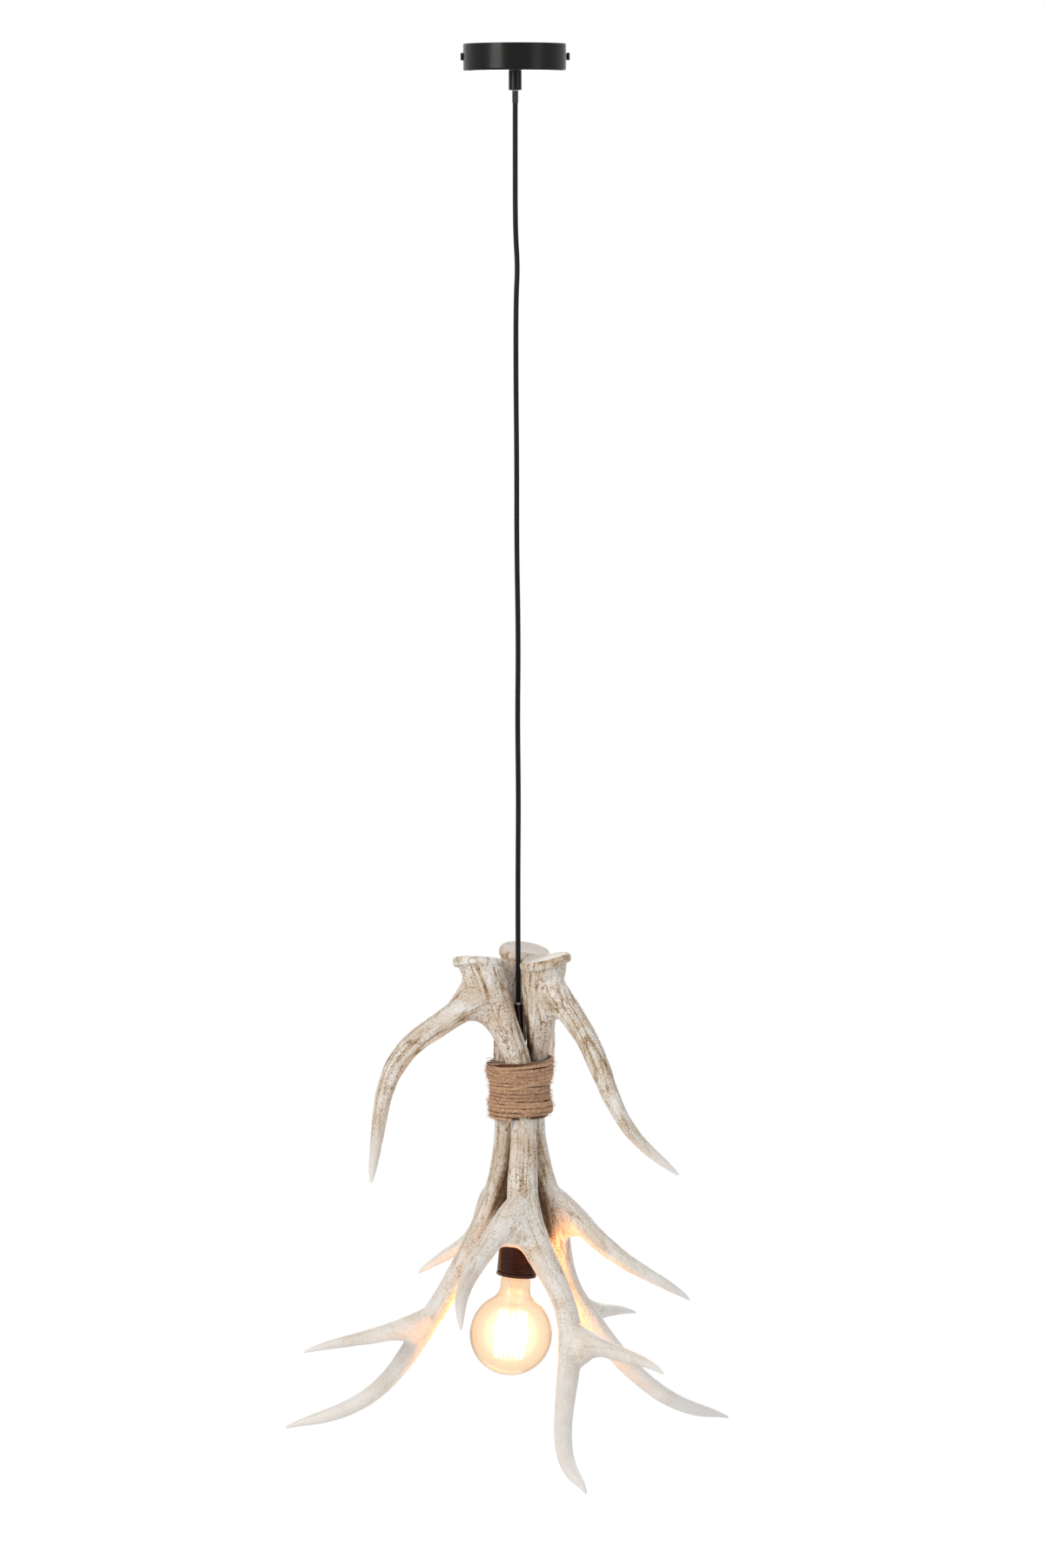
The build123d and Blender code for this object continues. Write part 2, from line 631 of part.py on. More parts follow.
def biarc(start, run_in, end, run_out):
    """Two tangent arcs from one point and direction to another."""
    gap, runs = end - start, run_in + run_out
    bend = 2 * (1 - run_in.dot(run_out))
    reach = (-gap.dot(runs) + math.sqrt(gap.dot(runs) ** 2 + bend * gap.dot(gap))) / bend
    joint = (start + end + (run_in - run_out) * reach) / 2
    run_at_joint = (end - run_out * reach - start - run_in * reach).normalized()
    return [TangentArc(start, joint, tangent=run_in), TangentArc(joint, end, tangent=run_at_joint)]


def twine_path():
    arcs = [Line(twine_point(0) - twine_run(0) * 2 * TWINE_R, twine_point(0))]
    for quarter in range(4 * TWINE_TURNS):
        a, b = quarter / 4, (quarter + 1) / 4
        arcs += biarc(twine_point(a), twine_run(a), twine_point(b), twine_run(b))
    last = twine_point(TWINE_TURNS)
    arcs.append(Line(last, last + twine_run(TWINE_TURNS) * 2 * TWINE_R))
    return Wire([edge for arc in arcs for edge in arc.edges()])


def make_twine():
    path = twine_path()
    section = Plane(origin=path @ 0, z_dir=path % 0) * Circle(TWINE_R)
    winding = sweep(section, path)
    per_turn = 40
    samples = [twine_point(i / per_turn) for i in range(per_turn * TWINE_TURNS + 1)]
    least = min(
        (samples[i] - samples[j]).length
        for i in range(len(samples))
        for j in range(i + per_turn // 2, min(i + 3 * per_turn // 2, len(samples)))
    )
    print("twine length", round(path.length), "least gap to itself", round(least - 2 * TWINE_R, 2))
    return winding


def make_twine_core():
    """The layers of twine under the outer one, packed round and between the three beams."""
    steps = 16
    half = TWINE_PITCH * TWINE_TURNS / 2 + TWINE_R
    outline = []
    for i in range(steps + 1):
        height = -half + 2 * half * i / steps
        outline.append((twine_radius(height) - TWINE_R - SEAT_GAP, height - BIND_DROP))
    outline += [(TWINE_CORE_R, half - BIND_DROP), (TWINE_CORE_R, -half - BIND_DROP)]
    core = spun(outline)
    beam = limb(BEAM, grow=SEAT_GAP)
    for name in ANTLERS:
        core -= placed(name, beam)
    return core


# ---- Lampholder, in its own frame: Z = 0 is the cap's top, and it opens downwards ----
SKIRT_TOP = -(CAP_L - SKIRT_LAP)
RIM_Z = SKIRT_TOP - SKIRT_L
CAP_R = SKIRT_R - THREAD_DEPTH - SKIRT_WALL - SEAT_GAP
INSERT_R = CAP_R - CAP_WALL - SEAT_GAP
INSERT_TOP = -CAP_L + INSERT_T / 2
INSERT_END = INSERT_TOP - INSERT_T
SHELL_END = INSERT_END - SHELL_L
BUTTON_TOP = INSERT_END - CONTACT_T - 2 * SEAT_GAP
BULB_CAP_TOP = BUTTON_TOP - BUTTON_T - BULB_INSULATOR_L
BULB_CAP_END = BULB_CAP_TOP - BULB_CAP_L


def make_tube_locknut():
    return Pos(0, 0, SEAT_GAP) * hex_nut(TUBE_R + SLIP, NUT_T)


def make_holder_cap():
    outside = [(TUBE_R + SLIP, 0), (CAP_NECK_R, 0), (CAP_NECK_R, -CAP_NECK_L), (CAP_R, -CAP_L * 0.62),
               (CAP_R, -CAP_L)]
    inside = [(CAP_R - CAP_WALL, -CAP_L), (CAP_R - CAP_WALL, -CAP_L * 0.62 - CAP_WALL * 0.4),
              (TUBE_R + SLIP, -CAP_NECK_L - 2 * CAP_WALL)]
    return spun(outside + inside)


def make_holder_skirt():
    crest, root = SKIRT_R, SKIRT_R - THREAD_DEPTH
    inner = root - SKIRT_WALL
    outline = [(inner, SKIRT_TOP), (root, SKIRT_TOP)]
    ridges = int((SKIRT_L - RIM_L) / THREAD_PITCH)
    for i in range(ridges):
        top = SKIRT_TOP - i * THREAD_PITCH
        outline.append((crest, top - THREAD_PITCH * 0.35))
        outline.append((crest, top - THREAD_PITCH * 0.65))
        outline.append((root, top - THREAD_PITCH))
    rim_top = SKIRT_TOP - ridges * THREAD_PITCH
    rim_r = crest + BROKEN_EDGE
    outline += [(rim_r, rim_top - BROKEN_EDGE), (rim_r, RIM_Z + BROKEN_EDGE), (crest, RIM_Z), (inner, RIM_Z)]
    return spun(outline)


def make_holder_insert():
    disc = rod(INSERT_R, INSERT_TOP, INSERT_END)
    disc = chamfer(disc.edges().sort_by(Axis.Z)[-1], SOFT_EDGE)
    disc -= rod(CORD_R, INSERT_TOP + 1, INSERT_TOP - INSERT_T / 2)
    for side in (-1, 1):
        disc -= Pos(side * HOLDER_SCREW_X, 0, 0) * rod(HOLDER_SCREW_R + SLIP, INSERT_TOP, INSERT_TOP - INSERT_T * 0.7)
    return disc


def make_holder_screws():
    screw = pan_screw(2 * HOLDER_SCREW_R, HOLDER_SCREW_R, HOLDER_SCREW_R, INSERT_T * 0.6)
    seat = INSERT_TOP + CORE_R * 2 + 2 * SLIP
    return [Pos(side * HOLDER_SCREW_X, 0, seat) * screw for side in (-1, 1)]


def make_holder_wires():
    """Two conductors from the cord's end, out under the two screw heads."""
    jacket_end = -HOLDER_UP - SLIP
    level = INSERT_TOP + CORE_R + SLIP
    wires = []
    for side in (-1, 1):
        points = [
            (side * CORE_SPREAD, 0, jacket_end),
            (side * CORE_SPREAD, 0, level + HOLDER_WIRE_DROP),
            (side * (CORE_SPREAD + HOLDER_WIRE_ASIDE), 0, level),
            (side * (HOLDER_SCREW_X - HOLDER_SCREW_R - SLIP), 0, level + HAIR),
        ]
        wires.append(cable(points, CORE_R, "holder wire"))
    return wires


def make_screw_shell():
    return tube(SHELL_R + SHELL_WALL, SHELL_R, INSERT_END, SHELL_END)


def make_holder_contact():
    return Pos(0, 0, INSERT_END - CONTACT_T / 2) * Box(3 * CONTACT_W, CONTACT_W, CONTACT_T)


# ---- Bulb, in the lampholder's frame ----
def make_bulb_contact():
    button = rod(BUTTON_R, BUTTON_TOP, BUTTON_TOP - BUTTON_T)
    return fillet(button.edges().sort_by(Axis.Z)[-1], SOFT_EDGE)


def make_bulb_insulator():
    top = BUTTON_TOP - BUTTON_T
    return spun([(0, top), (BUTTON_R + 1, top), (BULB_CAP_R - 1, BULB_CAP_TOP), (0, BULB_CAP_TOP)])


def make_bulb_cap():
    outer = BULB_CAP_R
    inner = outer - BULB_CAP_WALL
    return spun([(0, BULB_CAP_TOP), (outer - 1, BULB_CAP_TOP), (outer, BULB_CAP_TOP - 1), (outer, BULB_CAP_END),
                 (inner, BULB_CAP_END), (inner, BULB_CAP_TOP - BULB_CAP_WALL), (0, BULB_CAP_TOP - BULB_CAP_WALL)])


GLASS_TOP = BULB_CAP_END + FUSED_CONE
SHOULDER_X = NECK_R + SHOULDER_R
SHOULDER_RISE = math.sqrt((GLOBE_R + SHOULDER_R) ** 2 - SHOULDER_X ** 2)
SHOULDER_Z = BULB_CAP_END - NECK_L
GLOBE_Z = SHOULDER_Z - SHOULDER_RISE


def glass_outline(inset):
    """Half of the glass's outline, from the fused rim to the globe's pole, moved in by inset."""
    fused_r = BULB_CAP_R - BULB_CAP_WALL - SLIP - inset
    neck_r = NECK_R - inset
    globe_r = GLOBE_R - inset
    hollow_r = SHOULDER_R + inset
    swing = math.atan2(SHOULDER_RISE, SHOULDER_X)

    def on_hollow(angle):
        return (SHOULDER_X - hollow_r * math.cos(angle), 0, SHOULDER_Z - hollow_r * math.sin(angle))

    def on_globe(angle):
        return (globe_r * math.cos(angle), 0, GLOBE_Z + globe_r * math.sin(angle))

    throat = Polyline((fused_r, 0, GLASS_TOP), (fused_r, 0, BULB_CAP_END), (neck_r, 0, BULB_CAP_END - FUSED_CONE),
                      on_hollow(0))
    hollow = ThreePointArc(on_hollow(0), on_hollow(swing / 2), on_globe(swing))
    low = on_globe(-math.pi / 4)
    globe = ThreePointArc(on_globe(swing), on_globe(0), low)
    pole = ThreePointArc(low, on_globe(-3 * math.pi / 8), (0, 0, GLOBE_Z - globe_r))
    return [throat, hollow, globe, pole]


def glass_body(inset):
    lines = glass_outline(inset)
    start, end = lines[0] @ 0, lines[-1] @ 1
    axis = Polyline((end.X, 0, end.Z), (0, 0, start.Z), (start.X, 0, start.Z))
    wire = Wire([edge for line in lines + [axis] for edge in line.edges()])
    return revolve(make_face(wire), Axis.Z)


def make_bulb_glass():
    bore = rod(BULB_CAP_R - BULB_CAP_WALL - SLIP - GLASS_WALL, GLASS_TOP + 1, GLASS_TOP - 1)
    return glass_body(0) - glass_body(GLASS_WALL) - bore


STEM_TOP = GLASS_TOP
STEM_END = BULB_CAP_END - STEM_L


def make_bulb_stem():
    foot = BULB_CAP_R - BULB_CAP_WALL - SLIP - GLASS_WALL - SLIP
    outline = [
        (0, STEM_TOP),
        (foot, STEM_TOP),
        (STEM_FOOT_R, STEM_TOP - STEM_FOOT_H),
        (STEM_R, STEM_TOP - STEM_CONE_H),
        (STEM_R * 0.8, STEM_END),
        (0, STEM_END),
    ]
    return spun(outline)


def make_bulb_filaments():
    """Filament sticks in a ring, each with a wire from the stem to its top and a shared cross at the foot."""
    top = STEM_END + FILAMENT_LAP
    foot = top - FILAMENT_L
    post = rod(WIRE_R, STEM_END, foot - POST_PAST)
    cage = post
    for i in range(FILAMENTS):
        turn = Rot(0, 0, 360 * i / FILAMENTS)
        stick = Pos(FILAMENT_CIRCLE_R, 0, 0) * rod(FILAMENT_R, top, foot)
        arm = Pos(FILAMENT_CIRCLE_R / 2, 0, foot) * Rot(0, 90, 0) * Cylinder(WIRE_R, FILAMENT_CIRCLE_R)
        cage += turn * stick
        cage += turn * arm
    return cage


def write(name, solids, place=Pos(0, 0, 0)):
    pieces = solids if isinstance(solids, list) else [solids]
    found = [solid for piece in pieces for solid in (place * piece).solids()]
    whole = found[0] if len(found) == 1 else Compound(found)
    export_step(whole, os.path.join("parts", name + ".step"))


os.makedirs("parts", exist_ok=True)

write("ceiling_bracket", make_bracket())
write("canopy_shell", make_canopy_shell())
write("canopy_side_screws", make_side_screws())
write("terminal_block", make_terminal_block())
write("terminal_tubes", make_terminal_tubes())
write("terminal_screws", make_terminal_screws())
write("earth_screw", make_earth_screw())
write("earth_lug", make_earth_lug())
write("canopy_wires", make_canopy_wires())
write("grip_nipple", make_nipple())
write("grip_locknut", make_grip_locknut())
write("cord_grip", make_cord_grip())
write("grip_screw", make_grip_screw())
write("cord_in_canopy", make_cord_in_canopy())
write("cord_bend", make_cord_bend())
write("cord_collar", make_cord_collar())
write("cord", make_cord())

write("centre_tube", make_tube(), LAMP)
write("tube_bush", make_bush(), LAMP)
write("cord_in_tube", make_cord_in_tube(), LAMP)
write("antler_hub", make_hub(), LAMP)
write("antler_screws", make_antler_screws(), LAMP)
casting = make_casting()
for antler_name in ANTLERS:
    write(antler_name, make_antler(antler_name, casting), LAMP)
write("twine_core", make_twine_core(), LAMP)
write("twine_winding", make_twine(), LAMP)

AT_HOLDER = LAMP * HOLDER
write("tube_locknut", make_tube_locknut(), AT_HOLDER)
write("holder_cap", make_holder_cap(), AT_HOLDER)
write("holder_skirt", make_holder_skirt(), AT_HOLDER)
write("holder_insert", make_holder_insert(), AT_HOLDER)
write("holder_screws", make_holder_screws(), AT_HOLDER)
write("holder_wires", make_holder_wires(), AT_HOLDER)
write("holder_screw_shell", make_screw_shell(), AT_HOLDER)
write("holder_contact", make_holder_contact(), AT_HOLDER)

write("bulb_contact", make_bulb_contact(), AT_HOLDER)
write("bulb_insulator", make_bulb_insulator(), AT_HOLDER)
write("bulb_cap", make_bulb_cap(), AT_HOLDER)
write("bulb_glass", make_bulb_glass(), AT_HOLDER)
write("bulb_stem", make_bulb_stem(), AT_HOLDER)
write("bulb_filaments", make_bulb_filaments(), AT_HOLDER)

print("bending point", round(PIVOT_Z, 2), "cord exit", round(CORD_TOP_Z, 2), "cord end", round(CORD_END_Z, 2))
print("lampholder's top", AT_HOLDER.position, "its Z axis", Plane(AT_HOLDER).z_dir)
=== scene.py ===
# %% [markdown]
# # An antler pendant lamp
# The lamp is three cast antlers bound with jute round a steel tube. It hangs on a black cord from
# a small ceiling cup, and a clear globe bulb glows between the tines. The measured model is loaded
# first and stays as it is. This lesson gives it its finishes, and makes the pieces that need a
# living surface: the antlers, the jute, the cord and the glowing filaments.

# %% Load the measured model
import bpy
import math
import random
import numpy as np
from mathutils import Matrix, Vector, noise


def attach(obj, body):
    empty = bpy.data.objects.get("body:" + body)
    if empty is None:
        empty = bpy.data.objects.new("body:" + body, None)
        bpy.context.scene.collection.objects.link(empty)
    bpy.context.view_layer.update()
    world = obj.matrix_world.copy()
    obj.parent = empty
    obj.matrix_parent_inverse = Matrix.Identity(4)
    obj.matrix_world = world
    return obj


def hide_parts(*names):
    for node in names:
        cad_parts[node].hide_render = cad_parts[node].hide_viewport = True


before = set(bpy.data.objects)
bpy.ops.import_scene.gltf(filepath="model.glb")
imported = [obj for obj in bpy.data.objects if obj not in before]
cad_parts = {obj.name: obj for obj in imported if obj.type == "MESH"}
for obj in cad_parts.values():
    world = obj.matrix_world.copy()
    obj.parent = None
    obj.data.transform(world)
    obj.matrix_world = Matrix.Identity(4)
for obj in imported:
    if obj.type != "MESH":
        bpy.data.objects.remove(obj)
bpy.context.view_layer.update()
MM = 0.001

# %% [markdown]
# ## The camera
# The photograph was taken from more than five metres away, a little under the ceiling's height,
# with a long lens that looks slightly down. A long lens keeps the cord and the antlers in
# proportion. The camera is placed with a matrix, because its small roll is about its line of sight.

# %% Camera
# The picture's height and its lens in pixels, the sensor and the camera's place in mm, its turns in
# degrees, and how many metres it sees.
PHOTO_H, FOCAL_PX = 1800, 6406.6
SENSOR = 36.0
CAMERA_AT = (5.65, -5400, -179.3)
LOOK_DOWN, ROLL = 5.652, -0.117
SEES = 60


def new_object(name, data):
    """Puts new data into the scene, as an object at the origin."""
    thing = bpy.data.objects.new(name, data)
    bpy.context.collection.objects.link(thing)
    return thing


camera_data = bpy.data.cameras.new("camera")
camera_data.sensor_fit = "VERTICAL"
camera_data.sensor_height = SENSOR
camera_data.lens = FOCAL_PX / PHOTO_H * SENSOR
camera_data.clip_end = SEES
camera = new_object("camera", camera_data)
camera.matrix_world = (
    Matrix.Translation([c * MM for c in CAMERA_AT])
    @ Matrix.Rotation(math.radians(90 - LOOK_DOWN), 4, "X")
    @ Matrix.Rotation(math.radians(ROLL), 4, "Z")
)
bpy.context.scene.camera = camera
print("lens", round(camera_data.lens, 1), "mm")

# %% [markdown]
# ## Small helpers
# A material is a graph of nodes. One function adds a node, sets its options and links its inputs,
# so that each finish below reads as a short recipe. Colours are written as the hex values that a
# painter would pick on screen, and one function turns them into the linear light that Blender uses.

# %% Helpers for colours and materials
def colour(hex_value, alpha=1.0):
    """sRGB hex to linear light."""
    parts = [int(hex_value[i:i + 2], 16) / 255 for i in (1, 3, 5)]
    linear = [c / 12.92 if c <= 0.04045 else ((c + 0.055) / 1.055) ** 2.4 for c in parts]
    return (*linear, alpha)


def add(tree, kind, inputs=None, stops=(), **options):
    """Adds a node with its settings. An input is a value, or a (node, output name) pair to link from. The
    stops of a colour ramp are (place, value) pairs."""
    node = tree.nodes.new("ShaderNode" + kind)
    for name, value in options.items():
        setattr(node, name, value)
    for name, value in (inputs or {}).items():
        socket = node.inputs[name]
        if isinstance(value, tuple) and len(value) == 2 and isinstance(value[0], bpy.types.Node):
            tree.links.new(value[0].outputs[value[1]], socket)
        else:
            socket.default_value = value
    if stops:
        elements = node.color_ramp.elements
        while len(elements) < len(stops):
            elements.new(0.5)
        for element, (place, value) in zip(elements, stops):
            element.position = place
            element.color = value if isinstance(value, tuple) else (value, value, value, 1)
    return node


def new_material(name):
    """An empty node material with its principled shader and its output."""
    material = bpy.data.materials.new(name)
    material.use_nodes = True
    tree = material.node_tree
    return material, tree, tree.nodes["Principled BSDF"]


def set_shader(shader, **values):
    """Sets values that are the same all over a surface on the shader's own sockets."""
    for name, value in values.items():
        shader.inputs[name.replace("_", " ")].default_value = value


def paint(material, *nodes):
    """Gives pieces of the measured model a material."""
    for name in nodes:
        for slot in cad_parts[name].material_slots:
            slot.material = material


# %% [markdown]
# ## Light and background
# The photograph has soft light from all round and a white background. The white is only for the
# camera: what lights the lamp is a quieter grey sky, a large soft panel up on the left, a weaker
# one on the right and one behind, so that pale resin keeps its shading.

# %% World, lights and floor
SKY_LIGHT = 0.62
FLOOR_SIZE, FLOOR_Z = 14.0, -2.4

world = bpy.data.worlds.new("studio")
bpy.context.scene.world = world
world.use_nodes = True
sky = world.node_tree
sky.nodes.clear()
rays = add(sky, "LightPath")
sharp = add(sky, "Math", {0: (rays, "Is Glossy Ray"), 1: (rays, "Is Transmission Ray")},
            operation="MAXIMUM")
seen = add(sky, "Math", {0: (rays, "Is Camera Ray"), 1: (sharp, "Value")}, operation="MAXIMUM")
dull = add(sky, "Background", {"Color": colour("#f4f6fa"), "Strength": SKY_LIGHT})
white = add(sky, "Background", {"Color": (1, 1, 1, 1), "Strength": 1.0})
both = add(sky, "MixShader", {0: (seen, "Value"), 1: (dull, "Background"), 2: (white, "Background")})
add(sky, "OutputWorld", {"Surface": (both, "Shader")})


def panel(name, place, target, size, watts, tint):
    """A square soft light that looks at a target."""
    data = bpy.data.lights.new(name, "AREA")
    data.shape = "SQUARE"
    data.size = size
    data.energy = watts
    data.color = colour(tint)[:3]
    lamp = new_object(name, data)
    lamp.location = place
    lamp.rotation_euler = (Vector(target) - Vector(place)).to_track_quat("-Z", "Y").to_euler()


panel("soft panel left", (-2.4, -2.6, 0.5), (0, 0, -1.0), 1.6, 62, "#fff8ee")
panel("soft panel right", (2.6, -2.2, -0.6), (0, 0, -1.1), 1.4, 18, "#f2f6ff")
panel("soft panel behind", (0.4, 2.8, -0.2), (0, 0, -1.0), 1.8, 30, "#ffffff")

bpy.ops.mesh.primitive_plane_add(size=FLOOR_SIZE, location=(0, 0, FLOOR_Z))
floor = bpy.context.object
floor.name = "floor"
bpy.ops.object.transform_apply(location=True, rotation=True, scale=True)
floor_paint, tree, shader = new_material("matt white paint")
# Emulsion paint, rolled: no shine, and the camera sees it as bright as the background.
set_shader(shader, Base_Color=colour("#f2f2f2"), Roughness=0.9)
rays = add(tree, "LightPath")
lift = add(tree, "Math", {0: (rays, "Is Camera Ray"), 1: 0.5}, operation="MULTIPLY")
glow = add(tree, "Emission", {"Color": (1, 1, 1, 1), "Strength": (lift, "Value")})
total = add(tree, "AddShader", {0: (shader, "BSDF"), 1: (glow, "Emission")})
tree.links.new(total.outputs[0], tree.nodes["Material Output"].inputs["Surface"])
floor.data.materials.append(floor_paint)
print("floor at", FLOOR_Z, "m")

# %% [markdown]
# ## Metal and plastic finishes
# The ceiling cup and the cord grip are steel with a satin black powder coat, which shows as a
# black with a soft highlight and a faint orange-peel grain. The brackets and nuts are zinc-plated,
# the terminals are brass, and the lampholder and the tube above it are lacquered a dark bronze.

# %% Powder coat, zinc, brass, bronze
def grain_bump(tree, shader, size_mm, height_mm, strength, detail=3.0, rough=0.5):
    """A bump with grains of a real size. Returns the object coordinates that it reads."""
    place = add(tree, "TexCoord")
    grain = add(tree, "TexNoise", {"Vector": (place, "Object"), "Scale": 1 / (size_mm * MM),
                                   "Detail": detail, "Roughness": rough})
    bump = add(tree, "Bump", {"Height": (grain, "Fac"), "Distance": height_mm * MM, "Strength": strength})
    tree.links.new(bump.outputs["Normal"], shader.inputs["Normal"])
    return place


def varied(tree, shader, socket, place, size_mm, low, high):
    """Lets a value or colour wander slowly over the surface."""
    wide = add(tree, "TexNoise", {"Vector": (place, "Object"), "Scale": 1 / (size_mm * MM), "Detail": 2.0})
    spread = add(tree, "ValToRGB", {"Fac": (wide, "Fac")}, [(0.35, low), (0.65, high)])
    tree.links.new(spread.outputs["Color"], shader.inputs[socket])


powder_black, tree, shader = new_material("satin black powder coat")
# Baked powder: a faint orange peel of about 1 mm and a broad, soft highlight.
set_shader(shader, Base_Color=colour("#060607"), Metallic=0.0, IOR=1.5)
place = grain_bump(tree, shader, 0.9, 0.01, 0.3)
varied(tree, shader, "Roughness", place, 22, 0.24, 0.30)
# Along the surface the coat mirrors the bright floor, so the cup's underside looks pale from the side.
facing = add(tree, "LayerWeight", {"Blend": 0.5})
mirror = add(tree, "ValToRGB", {"Fac": (facing, "Facing")}, [(0.0, 0.2), (0.86, 0.2), (0.97, 0.5)])
tree.links.new(mirror.outputs["Color"], shader.inputs["Specular IOR Level"])
paint(powder_black, "canopy_shell", "cord_grip", "canopy_side_screws", "grip_screw")

zinc, tree, shader = new_material("zinc-plated steel")
# Bright zinc: a cold grey metal with cloudy crystals.
set_shader(shader, Base_Color=colour("#b9bcc0"), Metallic=1.0)
place = grain_bump(tree, shader, 0.6, 0.01, 0.3)
varied(tree, shader, "Roughness", place, 4, 0.28, 0.46)
paint(zinc, "ceiling_bracket", "terminal_screws", "grip_nipple", "grip_locknut", "antler_hub",
      "antler_screws", "tube_locknut", "bulb_contact", "tube_bush")

brass, tree, shader = new_material("drawn brass")
# Brass sheet and bar: warm yellow, a little tarnished.
set_shader(shader, Metallic=1.0)
place = grain_bump(tree, shader, 0.5, 0.008, 0.3)
varied(tree, shader, "Base Color", place, 6, colour("#b98f45"), colour("#d3ab62"))
varied(tree, shader, "Roughness", place, 3, 0.25, 0.4)
paint(brass, "terminal_tubes", "earth_screw", "earth_lug", "holder_screws", "holder_screw_shell",
      "holder_contact", "bulb_cap")

bronze, tree, shader = new_material("dark bronze lacquer on steel")
# A brown-black lacquer over threaded steel: glossy, so the thread's crests carry thin highlights.
set_shader(shader, Metallic=0.0, IOR=1.5, Specular_IOR_Level=0.3)
place = grain_bump(tree, shader, 1.2, 0.004, 0.15)
varied(tree, shader, "Base Color", place, 30, colour("#2c1208"), colour("#3a1a0d"))
varied(tree, shader, "Roughness", place, 24, 0.20, 0.25)
paint(bronze, "holder_cap", "holder_skirt", "centre_tube")

polyamide, tree, shader = new_material("white polyamide")
# Injection-moulded terminal block and lampholder insert: slightly yellow white, fine mould grain.
set_shader(shader, IOR=1.53, Subsurface_Weight=0.1)
place = grain_bump(tree, shader, 0.25, 0.01, 0.3)
varied(tree, shader, "Base Color", place, 8, colour("#dedbd0"), colour("#ebe8df"))
varied(tree, shader, "Roughness", place, 5, 0.42, 0.52)
paint(polyamide, "terminal_block", "holder_insert")

vitrite, tree, shader = new_material("black vitrite glass")
# The fused black glass ring that insulates the end of a bulb's cap.
set_shader(shader, Base_Color=colour("#0b0a0d"), Roughness=0.12, IOR=1.5)
grain_bump(tree, shader, 1.5, 0.03, 0.3)
paint(vitrite, "bulb_insulator")

core_pvc, tree, shader = new_material("brown PVC conductor sleeve")
# The insulated cores inside the cord: a glossy brown plastic.
set_shader(shader, IOR=1.53)
place = grain_bump(tree, shader, 0.8, 0.01, 0.25)
varied(tree, shader, "Base Color", place, 6, colour("#4b2a18"), colour("#5a3520"))
varied(tree, shader, "Roughness", place, 5, 0.3, 0.4)
paint(core_pvc, "canopy_wires", "holder_wires")
print("finishes for the measured pieces:", len(bpy.data.materials))

# %% [markdown]
# ## The hanging cord
# The cord is a 5 mm black flex that carries the lamp, so it is nearly straight, with the slight
# waves that it kept from the reel. Its line is a smooth NURBS curve through the same route as the
# measured cord, and a round bevel gives it its thickness.

# %% Cord
CORD_R = 2.5
EXIT = (0.0, 0.0, -44.4)
CORD_END = (1.2, 4.0, -927.8)
# How far the cord strays to the right, and how far down.
WAVES = [(-0.2, 100.0), (-0.4, 178.0), (1.8, 213.0), (0.0, 245.0), (-0.3, 320.0), (0.3, 405.0),
         (-0.1, 480.0), (1.2, 575.0), (0.1, 650.0), (0.8, 725.0), (0.0, 800.0), (-0.2, 868.0)]


def cord_route():
    """The route's points in metres, from the grip down to the lamp's tube."""
    points = [EXIT]
    for aside, drop in WAVES:
        share = (-drop - EXIT[2]) / (CORD_END[2] - EXIT[2])
        points.append((CORD_END[0] * share + aside, CORD_END[1] * share, -drop))
    points.append(CORD_END)
    return [tuple(c * MM for c in point) for point in points]


def round_curve(name, radius, sides, fineness):
    """A curve object, still without lines, that draws each line as a round cord of a radius in mm."""
    curve = bpy.data.curves.new(name, "CURVE")
    curve.dimensions = "3D"
    curve.bevel_depth = radius * MM
    curve.bevel_resolution = sides
    curve.resolution_u = fineness
    curve.use_fill_caps = True
    return new_object(name, curve)


def add_line(thing, points, kind="NURBS"):
    """Adds a line along points in metres to a curve object."""
    spline = thing.data.splines.new(kind)
    spline.points.add(len(points) - 1)
    for point, place in zip(spline.points, points):
        point.co = (*place, 1)
    if kind == "NURBS":
        spline.use_endpoint_u = True
        spline.order_u = 3
    return spline


flex_pvc, tree, shader = new_material("black PVC flex")
# Extruded sheath: nearly black, satin, with faint drag lines and dust along its length.
set_shader(shader, IOR=1.53, Specular_IOR_Level=0.14)
place = grain_bump(tree, shader, 2.5, 0.01, 0.2)
varied(tree, shader, "Base Color", place, 18, colour("#0d0d0e"), colour("#18181a"))
varied(tree, shader, "Roughness", place, 9, 0.34, 0.46)

cord = round_curve("hanging_flex", CORD_R, 8, 12)
add_line(cord, cord_route())
cord.data.materials.append(flex_pvc)
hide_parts("cord")
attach(cord, "hanging_cord")
print("cord control points:", len(cord.data.splines[0].points))

# %% [markdown]
# ## The bits of cord in the grip and in the tube
# The same cord starts in the canopy, bends where the grip's mouth is open, and goes on down inside
# the tube to the lampholder. These bits are hidden or nearly so, but they are real, and they have to
# follow their own bodies when the lamp swings. Each is a short smooth curve of the same thickness.

# %% Where the lamp stands under the canopy
def turned(x=0.0, y=0.0, z=0.0):
    """A turn in degrees about X, then about the turned Y, then about the turned Z."""
    about_x = Matrix.Rotation(math.radians(x), 4, "X")
    about_y = Matrix.Rotation(math.radians(y), 4, "Y")
    return about_x @ about_y @ Matrix.Rotation(math.radians(z), 4, "Z")


def moved(x, y, z):
    """A move in millimetres."""
    return Matrix.Translation((x * MM, y * MM, z * MM))


